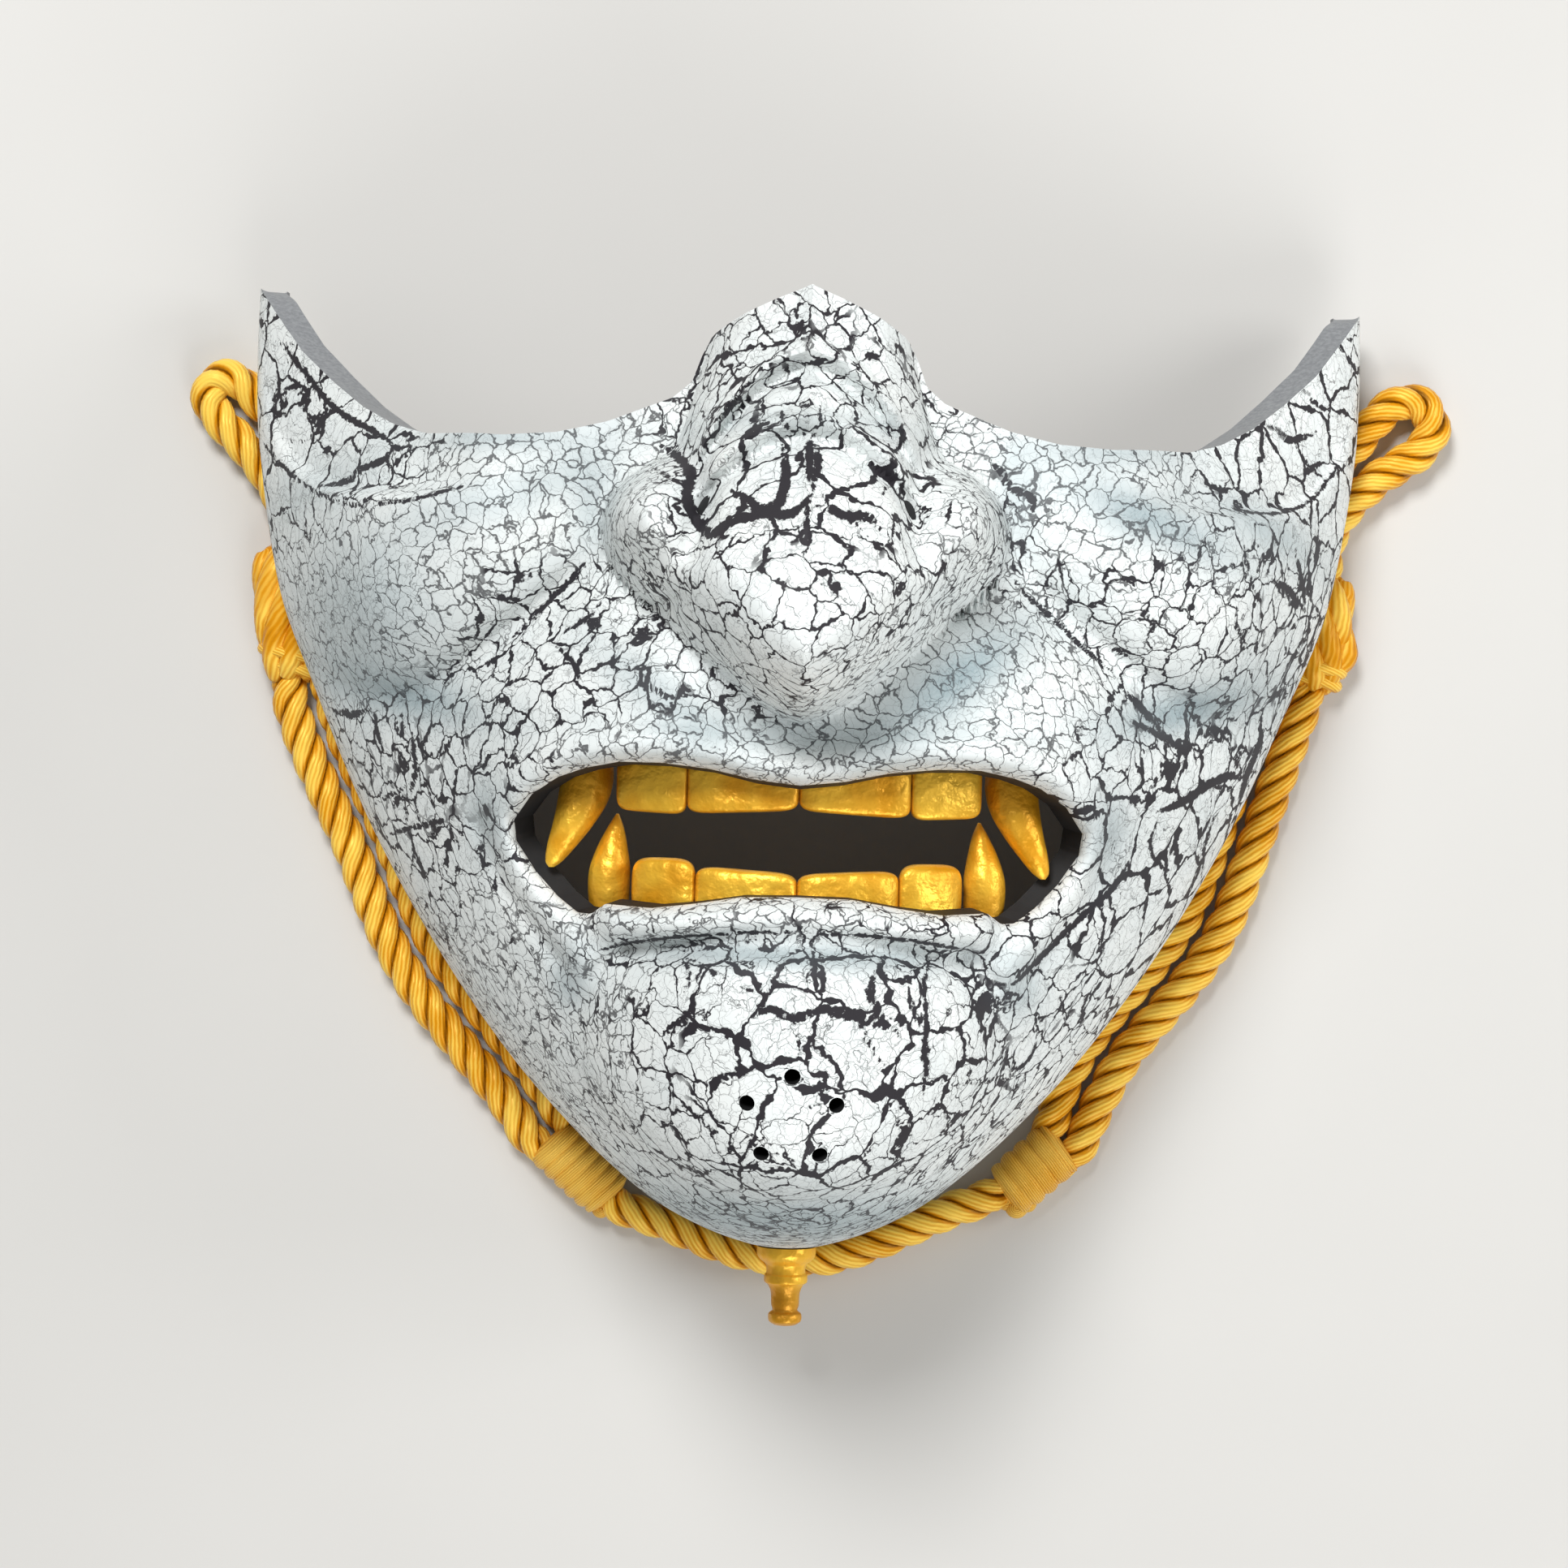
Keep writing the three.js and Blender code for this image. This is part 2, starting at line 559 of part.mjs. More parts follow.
// Fangs, one side's: rings from root to tip.
const upperFang = [
  { x: 31.2, y: 3.6, across: 3.6, deep: 3.1, drop: 3.6 },
  { x: 31.3, y: 0, across: 3.9, deep: 3.3, drop: 3.3 },
  { x: 31.9, y: -3.4, across: 3.7, deep: 3.2, drop: 2.8 },
  { x: 33.2, y: -6.8, across: 3, deep: 2.7, drop: 2.4 },
  { x: 34.7, y: -9.8, across: 2.2, deep: 2, drop: 2.2 },
  { x: 35.9, y: -12.2, across: 1.3, deep: 1.2, drop: 2.2 },
  { x: 36.3, y: -13.1, across: 0.4, deep: 0.4, drop: 2.2 },
];
const lowerFang = [
  { x: 27.6, y: -19, across: 2.9, deep: 2.9, drop: 3 },
  { x: 27.7, y: -16, across: 3.1, deep: 3, drop: 2.8 },
  { x: 27.6, y: -13, across: 3, deep: 2.8, drop: 2.6 },
  { x: 27.3, y: -9.8, across: 2.2, deep: 2.2, drop: 2.6 },
  { x: 26.9, y: -7, across: 1.2, deep: 1.3, drop: 2.8 },
  { x: 26.7, y: -5, across: 0.2, deep: 0.2, drop: 3 },
];

function fangGeometry(rings, side) {
  const rootHeight = behindWall(rings[0].x, rings[0].y);
  const across = (r) => new THREE.Vector3(r.across, 0, 0);
  const up = (r) => new THREE.Vector3(0, 0, r.deep * Math.sign(rings[1].y - rings[0].y));
  const centre = (r) => new THREE.Vector3(side * r.x, r.y, rootHeight - r.drop - 0.5);
  return loft(rings.map((r) => ellipse(centre(r), across(r), up(r), roundSides)));
}

// ---------------------------------------------------------------- the chin peg

// A turned peg pointing down from the chin: distance from its seat, and radius.
const pegProfile = [
  { along: 0, radius: 4.65 },
  { along: 1.2, radius: 4.65 },
  { along: 2, radius: 4.2 },
  { along: 2.9, radius: 3.2 },
  { along: 4.1, radius: 3.1 },
  { along: 4.6, radius: 3.4 },
  { along: 5.6, radius: 3.4 },
  { along: 6.1, radius: 2.8 },
  { along: 7.4, radius: 2.3 },
  { along: 9.2, radius: 2.2 },
  { along: 10.1, radius: 2 },
  { along: 10.7, radius: 2.6 },
  { along: 11.8, radius: 2.55 },
  { along: 12.4, radius: 1.7 },
];

function pegGeometry() {
  const across = new THREE.Vector3(1, 0, 0);
  const up = new THREE.Vector3(0, 0, -1);
  return loft(pegProfile.map((p) => {
    const centre = new THREE.Vector3(0, pegSeat.y - gap - p.along, pegSeat.z);
    return ellipse(centre, across.clone().multiplyScalar(p.radius), up.clone().multiplyScalar(p.radius), roundSides);
  }));
}

// ---------------------------------------------------------------- the tie rope

// The rope's runs, as points of its centre line on the surface.
const ropeRuns = [
  {
    name: "rope_chin",
    steps: 8,
    path: [
      [-27.6, -68.7], [-26.4, -69.4], [-19.4, -71.7], [-12.4, -74.4], [-6, -76.2], [1, -76.8], [7.5, -76.3],
      [14, -74.1], [20.6, -71.1], [26.8, -68.3], [32.3, -66.2], [33.5, -65.4],
    ],
  },
  {
    name: "rope_left_inner",
    steps: 10,
    path: [
      [-37, -54.4], [-37.9, -53.1], [-41.4, -48.1], [-47, -41.5], [-53, -34.5], [-58.3, -27.1], [-62.4, -18.9],
      [-65.9, -10.4], [-69.9, -2.2], [-73.8, 6.1], [-76.1, 12], [-76.2, 13.9],
    ],
  },
  {
    name: "rope_left_outer",
    steps: 10,
    path: [
      [-41, -59.3], [-42.2, -58.2], [-46.6, -51.9], [-54.2, -43], [-61.4, -34.2], [-67, -24.4], [-72.4, -11.6],
      [-76.2, -3.9], [-80.2, 4.6], [-82.5, 11], [-82.7, 13.9],
    ],
  },
  {
    name: "rope_left_loop",
    steps: 16,
    path: [
      [-83.7, 37.2], [-83.7, 38.6], [-84.3, 42.5], [-87, 47.6], [-90.8, 52.3], [-94.3, 55.8], [-96.9, 59.4],
      [-96.4, 62.7], [-92.9, 63.5], [-89.3, 60.3], [-84.9, 55.7], [-80.1, 49.5], [-77.6, 43.5], [-77.2, 39.1],
      [-77.2, 37.8],
    ],
  },
  {
    name: "rope_right_inner",
    steps: 10,
    path: [
      [42.8, -52.7], [43.3, -51.4], [44.3, -47.6], [47.7, -40.9], [52.6, -34.2], [58, -27.7], [62.7, -20.8],
      [65.9, -13.1], [68.5, -5.1], [71.1, 3], [73.7, 10.9], [75.5, 15.4], [75.7, 16.7],
    ],
  },
  {
    name: "rope_right_outer",
    steps: 10,
    path: [
      [47, -57.6], [47.7, -56.2], [49.9, -50.8], [53.6, -43.6], [57.8, -38], [62.8, -32], [67.6, -25.2],
      [70.8, -18.6], [73.2, -11.5], [75.4, -4.5], [77.5, 2.1], [79.6, 8.6], [81.8, 14.4], [82.2, 16.7],
    ],
  },
  {
    name: "rope_right_loop",
    steps: 16,
    path: [
      [84.3, 36.9], [84.4, 38.3], [85.1, 42], [88, 47.2], [93.2, 52.2], [99, 56.1], [101.4, 60], [99.9, 63.7],
      [96.4, 64.5], [92.6, 61.9], [88.3, 56.6], [81.8, 50.2], [78.5, 43.8], [77.8, 38.8], [77.8, 37.5],
    ],
  },
];

// Bundles on the rope, from one end to the other: whippings that bind it, and wrapped knots.
const whippingRings = [
  { along: 0, across: 3.6, deep: 2.9 },
  { along: 0.12, across: 4.3, deep: 3.6 },
  { along: 0.4, across: 4.6, deep: 3.9 },
  { along: 0.8, across: 4.6, deep: 3.9 },
  { along: 1, across: 4.8, deep: 3.4 },
];
const knotRings = [
  { along: 0, across: 4.6, deep: 2.9 },
  { along: 0.18, across: 5.6, deep: 4.1 },
  { along: 0.42, across: 6, deep: 4.3 },
  { along: 0.62, across: 6, deep: 4.3 },
  { along: 0.85, across: 5.6, deep: 3.9 },
  { along: 1, across: 4.6, deep: 2.9 },
];
const bundles = [
  { name: "whipping_left", from: [-28.3, -68], to: [-39, -58.2], rings: whippingRings },
  { name: "whipping_right", from: [34.9, -65.6], to: [44.4, -57], rings: whippingRings },
  { name: "knot_left", from: [-81.4, 14.9], to: [-84.1, 36.2], rings: knotRings },
  { name: "knot_right", from: [81.9, 17.7], to: [84.2, 35.8], rings: knotRings },
];

function ropeGeometry(run) {
  const path = new THREE.CatmullRomCurve3(run.path.map(([x, y]) => new THREE.Vector3(x, y, ropeLift)));
  const outline = Array.from({ length: 8 }, (_, k) => {
    const a = (2 * Math.PI * (k + 0.5)) / 8;
    return new THREE.Vector2(Math.cos(a), Math.sin(a)).multiplyScalar(ropeDiameter / 2);
  });
  const tube = new THREE.ExtrudeGeometry(new THREE.Shape(outline), { extrudePath: path, steps: run.steps });
  tube.deleteAttribute("normal");
  tube.deleteAttribute("uv");
  return mergeVertices(tube, 1e-4);
}

function bundleGeometry(bundle) {
  const [from, to] = [bundle.from, bundle.to].map(([x, y]) => new THREE.Vector3(x, y, 0));
  const along = to.clone().sub(from).normalize();
  const up = new THREE.Vector3(0, 0, 1);
  const across = new THREE.Vector3().crossVectors(up, along);
  return loft(bundle.rings.map((r) => {
    const centre = from.clone().lerp(to, r.along).setZ(r.deep + 0.15);
    return ellipse(centre, up.clone().multiplyScalar(r.deep), across.clone().multiplyScalar(r.across), 10);
  }));
}

// ---------------------------------------------------------------- the assembly

const finishes = {
  paint: { color: 0xe4eaea, roughness: 0.45, metalness: 0 },
  gilt: { color: 0xe8a51c, roughness: 0.35, metalness: 0.6 },
  rope: { color: 0xdb9a1c, roughness: 0.6, metalness: 0 },
  thread: { color: 0xb9812a, roughness: 0.7, metalness: 0 },
};

const mask = new THREE.Group();

function addPiece(name, geometry, finish) {
  const piece = new THREE.Mesh(geometry, new THREE.MeshStandardMaterial(finishes[finish]));
  piece.name = name;
  mask.add(piece);
}

addPiece("mask_shell", shellGeometry(), "paint");
addPiece("upper_teeth", rowGeometry(upperRow), "gilt");
addPiece("upper_fang_left", fangGeometry(upperFang, -1), "gilt");
addPiece("upper_fang_right", fangGeometry(upperFang, 1), "gilt");
addPiece("lower_teeth", rowGeometry(lowerRow), "gilt");
addPiece("lower_fang_left", fangGeometry(lowerFang, -1), "gilt");
addPiece("lower_fang_right", fangGeometry(lowerFang, 1), "gilt");
addPiece("chin_peg", pegGeometry(), "gilt");
const middle = new THREE.Box3().setFromObject(mask).getCenter(new THREE.Vector3());
for (const run of ropeRuns) addPiece(run.name, ropeGeometry(run), "rope");
for (const bundle of bundles) {
  addPiece(bundle.name, bundleGeometry(bundle), bundle.name.startsWith("knot") ? "rope" : "thread");
}

// The mask's own middle stands over the origin.
for (const piece of mask.children) piece.geometry.translate(-middle.x, -middle.y, 0);

export default mask;
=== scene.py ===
import math

import bmesh
import bpy
import numpy as np
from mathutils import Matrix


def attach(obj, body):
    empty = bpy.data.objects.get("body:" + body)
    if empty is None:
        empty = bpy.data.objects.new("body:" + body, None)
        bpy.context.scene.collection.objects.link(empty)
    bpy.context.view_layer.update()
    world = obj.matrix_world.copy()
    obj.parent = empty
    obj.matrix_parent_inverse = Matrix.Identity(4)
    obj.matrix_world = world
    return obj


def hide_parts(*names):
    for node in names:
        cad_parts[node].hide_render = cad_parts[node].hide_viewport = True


# A half mask that covers nose, cheeks, mouth and chin: crackled paint on a moulded shell, gilt teeth, fangs
# and chin peg, and a golden tie rope laid round its rim. Tables are in millimetres in the face's own frame,
# with the mouth near the origin; rowShift carries them to the part's frame.
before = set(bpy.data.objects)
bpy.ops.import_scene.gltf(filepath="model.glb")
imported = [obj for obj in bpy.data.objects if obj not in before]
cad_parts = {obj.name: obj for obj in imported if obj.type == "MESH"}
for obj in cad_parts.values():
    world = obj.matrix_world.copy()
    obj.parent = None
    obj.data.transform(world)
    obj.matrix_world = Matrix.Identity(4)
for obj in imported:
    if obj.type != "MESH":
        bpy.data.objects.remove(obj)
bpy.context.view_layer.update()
mm = 0.001
rowShift = np.array([0, 4.085, 0])


# Shared small functions.

def linear(hexColor):
    # sRGB hex to linear: divide by 12.92 near black, otherwise the 2.4 power curve
    c = np.array([int(hexColor[i:i + 2], 16) / 255 for i in (1, 3, 5)])
    return (*np.where(c <= 0.04045, c / 12.92, ((c + 0.055) / 1.055) ** 2.4), 1)


def addNode(tree, kind, inputs, output=0, **settings):
    # one node with its settings; an input is a value, or another node's socket to link
    node = tree.nodes.new("ShaderNode" + kind)
    for key, value in settings.items():
        setattr(node, key, value)
    for socket, value in inputs.items():
        if isinstance(value, bpy.types.NodeSocket):
            tree.links.new(value, node.inputs[socket])
        else:
            node.inputs[socket].default_value = value
    return node if output is None else node.outputs[output]


def newMaterial(name):
    # an empty material and its node tree
    material = bpy.data.materials.new(name)
    material.use_nodes = True
    material.node_tree.nodes.clear()
    return material, material.node_tree


def step(x):
    # 0 to 1 with level ends: t^2 * (3 - 2t)
    t = np.clip(x, 0, 1)
    return t * t * (3 - 2 * t)


def bell(x):
    # 1 at 0, falling to nothing either way: exp(-x^2)
    return np.exp(-x * x)


def softMax(a, b, blend):
    # the higher of two, joined by a curve where they are within the blend of each other
    near = np.maximum(blend - np.abs(a - b), 0) / blend
    return np.maximum(a, b) + near * near * blend / 4


def tableCurve(xs, ys, x):
    # monotone cubic through a table's points: harmonic-mean slopes, so it never overshoots them
    order = np.argsort(xs)
    xs, ys = np.asarray(xs, float)[order], np.asarray(ys, float)[order]
    width, rise = np.diff(xs), np.diff(ys)
    slope = rise / width
    a, b = 2 * width[1:] + width[:-1], width[1:] + 2 * width[:-1]
    same = slope[:-1] * slope[1:] > 0
    first, second = np.where(same, slope[:-1], 1), np.where(same, slope[1:], 1)
    tangent = np.r_[slope[0], np.where(same, (a + b) / (a / first + b / second), 0), slope[-1]]
    x = np.clip(x, xs[0], xs[-1])
    i = np.clip(np.searchsorted(xs, x) - 1, 0, len(width) - 1)
    t = (x - xs[i]) / width[i]
    ends = (2 * t**3 - 3 * t**2 + 1) * ys[i] + (3 * t**2 - 2 * t**3) * ys[i + 1]
    return ends + ((t**3 - 2 * t**2 + t) * tangent[i] + (t**3 - t**2) * tangent[i + 1]) * width[i]


def smoothed(points, each):
    # Catmull-Rom spline through given points, a given number of steps between them
    p = np.array(points, float)
    p = np.vstack([2 * p[0] - p[1], p, 2 * p[-1] - p[-2]])
    t = (np.arange(each) / each)[None, :, None]
    a, b, c, d = (p[i:len(p) - 3 + i, None, :] for i in range(4))
    curve = 0.5 * (2 * b + (c - a) * t + (2 * a - 5 * b + 4 * c - d) * t**2 + (3 * b - a - 3 * c + d) * t**3)
    return np.vstack([curve.reshape(-1, p.shape[1]), p[-2]])


def unit(vectors):
    # the same directions at length 1
    return vectors / np.linalg.norm(vectors, axis=-1, keepdims=True)


def lengthsAlong(points):
    # how far along a line each of its points lies
    return np.r_[0, np.cumsum(np.linalg.norm(np.diff(points, axis=0), axis=1))]


def evenly(points, spacing):
    # the same line with points at an even spacing along it
    along = lengthsAlong(points)
    at = np.linspace(0, along[-1], max(2, round(along[-1] / spacing) + 1))
    return np.stack([np.interp(at, along, points[:, k]) for k in range(points.shape[1])], 1)


def distanceTo(path, x, y):
    # distance to the nearest of a path's straight pieces
    best = np.full(np.shape(x), np.inf)
    for (ax, ay), (bx, by) in zip(path[:-1], path[1:]):
        dx, dy = bx - ax, by - ay
        t = np.clip(((x - ax) * dx + (y - ay) * dy) / (dx * dx + dy * dy), 0, 1)
        best = np.minimum(best, np.hypot(x - ax - t * dx, y - ay - t * dy))
    return best


def isInside(outline, x, y):
    # even-odd count of the outline's crossings to one side
    inside = np.zeros(np.shape(x), bool)
    for (ax, ay), (bx, by) in zip(outline, np.roll(outline, -1, 0)):
        if ay != by:
            inside ^= ((ay > y) != (by > y)) & (x < (bx - ax) * (y - ay) / (by - ay) + ax)
    return inside


def gridFaces(rows, columns, wrapRows=False, wrapColumns=False):
    # four-sided faces between the points of neighbouring rows and columns
    i, j = np.indices((rows - (not wrapRows), columns - (not wrapColumns)))
    k, l = (i + 1) % rows, (j + 1) % columns
    return np.stack([i * columns + j, i * columns + l, k * columns + l, k * columns + j], -1).reshape(-1, 4)


def flattened(grid, uv):
    # a grid of points as a list, with its faces and its UV places
    return grid.reshape(-1, 3), gridFaces(*grid.shape[:2]).tolist(), uv.reshape(-1, 2)


def closedTube(rings):
    # rings of points carried along a path, with a fan of faces at each end
    rows, columns = rings.shape[:2]
    faces = gridFaces(rows, columns, wrapColumns=True).tolist()
    first, last = rows * columns, rows * columns + 1
    ring = np.arange(columns)
    after = (ring + 1) % columns
    faces += np.stack([after, ring, np.full(columns, first)], 1).tolist()
    base = (rows - 1) * columns
    faces += np.stack([base + ring, base + after, np.full(columns, last)], 1).tolist()
    points = np.vstack([rings.reshape(-1, 3), rings[0].mean(0), rings[-1].mean(0)])
    return points, faces


def joined(parts):
    # parts put together: points, faces, and what each point carries, a value or its UV place
    faces, start = [], 0
    for points, partFaces, carried in parts:
        faces += [[start + i for i in face] for face in partFaces]
        start += len(points)
    return np.vstack([p[0] for p in parts]), faces, np.concatenate([p[2] for p in parts])


def addPiece(name, points, faces, materials, replaced, uv=None, attributes=None, finish=None, sharp=60):
    # a mesh from points and faces: doubled points along seams are merged, then its faces are turned outwards
    mesh = bpy.data.meshes.new(name)
    mesh.from_pydata(((points + rowShift) * mm).tolist(), [], [list(f) for f in faces])
    if uv is not None:
        layer = mesh.uv_layers.new(name="UVMap")
        corner = np.zeros(len(mesh.loops), np.int32)
        mesh.loops.foreach_get("vertex_index", corner)
        layer.data.foreach_set("uv", uv[corner].astype(np.float32).ravel())
    for key, values in (attributes or {}).items():
        layer = mesh.attributes.new(key, "FLOAT", "POINT")
        layer.data.foreach_set("value", np.asarray(values, np.float32))
    if finish is not None:
        mesh.polygons.foreach_set("material_index", np.asarray(finish, np.int32))
    work = bmesh.new()
    work.from_mesh(mesh)
    bmesh.ops.remove_doubles(work, verts=work.verts, dist=2e-6)
    bmesh.ops.dissolve_degenerate(work, edges=work.edges, dist=1e-6)
    bmesh.ops.recalc_face_normals(work, faces=work.faces)
    work.to_mesh(mesh)
    work.free()
    mesh.shade_smooth()
    mesh.set_sharp_from_angle(angle=math.radians(sharp))
    for material in materials:
        mesh.materials.append(material)
    piece = bpy.data.objects.new(name, mesh)
    bpy.context.scene.collection.objects.link(piece)
    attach(piece, "root")
    if replaced:
        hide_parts(*replaced)
    print(f"{name}: {len(mesh.polygons)} faces")
    return piece


# Camera, floor and light.

studio = {"boardDark": "#c9c8c5", "boardLight": "#d2d1ce", "sky": "#eceae6", "skyStrength": 0.3}
view = {"height": 620, "lens": 87.34, "aimX": -2.25, "aimY": 4.085, "turn": 1.46}
cameraData = bpy.data.cameras.new("camera")
cameraData.lens = view["lens"]
cameraData.sensor_width = 36
camera = bpy.data.objects.new("camera", cameraData)
bpy.context.scene.collection.objects.link(camera)
camera.location = (view["aimX"] * mm, view["aimY"] * mm, view["height"] * mm)
camera.rotation_euler = (0, 0, math.radians(view["turn"]))
bpy.context.scene.camera = camera
bpy.context.scene.view_settings.view_transform = "Standard"

floorMaterial, tree = newMaterial("matte board")
speckle = addNode(tree, "TexNoise", {"Scale": 60, "Detail": 3})
board = addNode(tree, "Mix", {0: speckle, 6: linear(studio["boardDark"]), 7: linear(studio["boardLight"])},
                2, data_type="RGBA")
shader = addNode(tree, "BsdfPrincipled", {"Base Color": board, "Roughness": 0.7})
addNode(tree, "OutputMaterial", {"Surface": shader}, None)
floorMesh = bpy.data.meshes.new("floor")
floorMesh.from_pydata([(-3, -3, 0), (3, -3, 0), (3, 3, 0), (-3, 3, 0)], [], [(0, 1, 2, 3)])
floorMesh.materials.append(floorMaterial)
floor = bpy.data.objects.new("floor", floorMesh)
floor.location.z = -0.0002
bpy.context.scene.collection.objects.link(floor)

lights = [  # name, place in metres, size in metres, power in watts
    ("topLight", (-0.2, 0.6, 0.95), 0.35, 10.8),
    ("sideLight", (0.8, 0.15, 0.5), 0.4, 2.8),
    ("frontLight", (0.3, -0.8, 0.65), 0.6, 5.0),
]
for name, place, size, power in lights:
    lamp = bpy.data.lights.new(name, "AREA")
    lamp.size, lamp.energy = size, power
    lampObject = bpy.data.objects.new(name, lamp)
    lampObject.location = place
    direction = -lampObject.location
    lampObject.rotation_euler = direction.to_track_quat("-Z", "Y").to_euler()
    bpy.context.scene.collection.objects.link(lampObject)
world = bpy.data.worlds.new("studio")
bpy.context.scene.world = world
world.use_nodes = True
world.node_tree.nodes["Background"].inputs[0].default_value = linear(studio["sky"])
world.node_tree.nodes["Background"].inputs[1].default_value = studio["skyStrength"]
print("camera, floor and lights")


# Tie rope.

# One three-strand rope. It starts bound in the left whipping, goes up the side, through the left knot and
# round a loop, back down, round the chin, and the same up the right side, lying on the surface all the way.
rope = {
    "diameter": 6.2,
    "lift": 3.2,  # height of its centre line
    "pitch": 14.8,  # one turn of a strand
    "strandRadius": 1.62,
    "strandOffset": 1.45,
    "ringSpacing": 0.6,
    "path": [
        (-35.6, -64.2), (-38.6, -61.7), (-41, -59.3), (-42.2, -58.2), (-46.6, -51.9), (-54.2, -43),
        (-61.4, -34.2), (-67, -24.4), (-72.4, -11.6), (-76.2, -3.9), (-80.2, 4.6), (-82.5, 11),
        (-82.9, 14.4), (-83.2, 20), (-83.5, 26), (-83.7, 32), (-83.7, 37.2), (-84.3, 42.5), (-87, 47.6),
        (-90.8, 52.3), (-94.3, 55.8), (-96.9, 59.4), (-96.4, 62.7), (-92.9, 63.5), (-89.3, 60.3),
        (-84.9, 55.7), (-80.1, 49.5), (-77.6, 43.5), (-77.3, 37.8), (-77.6, 32), (-77.6, 26), (-77.2, 20),
        (-76.4, 13.9), (-73.8, 6.1), (-69.9, -2.2), (-65.9, -10.4), (-62.4, -18.9), (-58.3, -27.1),
        (-53, -34.5), (-47, -41.5), (-41.4, -48.1), (-37, -54.4), (-34.3, -59.3), (-31, -64.2),
        (-28.6, -67.6), (-26.4, -69.4), (-19.4, -71.7), (-12.4, -74.4), (-6, -76.2), (1, -76.8),
        (7.5, -76.3), (14, -74.1), (20.6, -71.1), (26.8, -68.3), (32.3, -66.2), (36.6, -63), (39.4, -59),
        (41.4, -55.6), (42.8, -52.7), (44.3, -47.6), (47.7, -40.9), (52.6, -34.2), (58, -27.7),
        (62.7, -20.8), (65.9, -13.1), (68.5, -5.1), (71.1, 3), (73.7, 10.9), (75.7, 16.7), (77, 21.5),
        (77.7, 27), (77.8, 32), (77.8, 37.5), (78.5, 43.8), (81.8, 50.2), (88.3, 56.6), (92.6, 61.9),
        (96.4, 64.5), (99.9, 63.7), (101.4, 60), (99, 56.1), (93.2, 52.2), (88, 47.2), (85.1, 42),
        (84.4, 37), (84.2, 32), (83.8, 26.5), (83.2, 21.5), (82.2, 16.7), (79.6, 8.6), (77.5, 2.1),
        (75.4, -4.5), (73.2, -11.5), (70.8, -18.6), (67.6, -25.2), (62.8, -32), (57.8, -38), (53.6, -43.6),
        (49.9, -50.8), (47, -57.6), (44.6, -60.6), (41.8, -62.6),
    ],
    # x, y, half length
    "bundles": [(-33.6, -63.1, 7), (39.7, -61.3, 6.4), (-80.5, 25.5, 10), (80.8, 26.8, 9)],
    "squeeze": 0.74,  # how far the strands are pressed together inside a bundle
    "strands": 3,
    "sides": 12,  # of each strand
    "yarns": 13,  # round each strand
    # painted highlight on the strands' crests, their middle colour, and painted shade in the grooves
    "colours": ("#ffd55c", "#d98f0f", "#522a02"),  # lit, middle, in the grooves
}


def strandSurface(line, radius, offset, turn, phase, sides):
    # a strand's surface: a circle set square to the helix that winds round the rope's line,
    # centre = line + offset (cos a side + sin a up), with a growing by one turn each pitch
    tangent = unit(np.gradient(line, axis=0))
    side = unit(np.cross([0.0, 0, 1], tangent))
    up = np.cross(tangent, side)
    along = lengthsAlong(line)
    a = (turn * along + phase)[:, None]
    out = np.cos(a) * side + np.sin(a) * up
    centre = line + offset[:, None] * out
    forward = unit(np.gradient(centre, axis=0))
    across = unit(np.cross(forward, out))
    out = np.cross(across, forward)
    b = np.arange(sides + 1) * 2 * np.pi / sides
    rings = centre[:, None] + radius[:, None, None] * (
        np.cos(b)[None, :, None] * out[:, None] + np.sin(b)[None, :, None] * across[:, None])
    uv = np.stack(np.broadcast_arrays(along[:, None], (b / (2 * np.pi))[None, :]), -1)
    ends = [np.broadcast_to(centre[i], rings[:1].shape) for i in (0, -1)]  # each end closes on its middle
    return np.vstack([ends[0], rings, ends[1]]), np.vstack([uv[:1], uv, uv[-1:]])


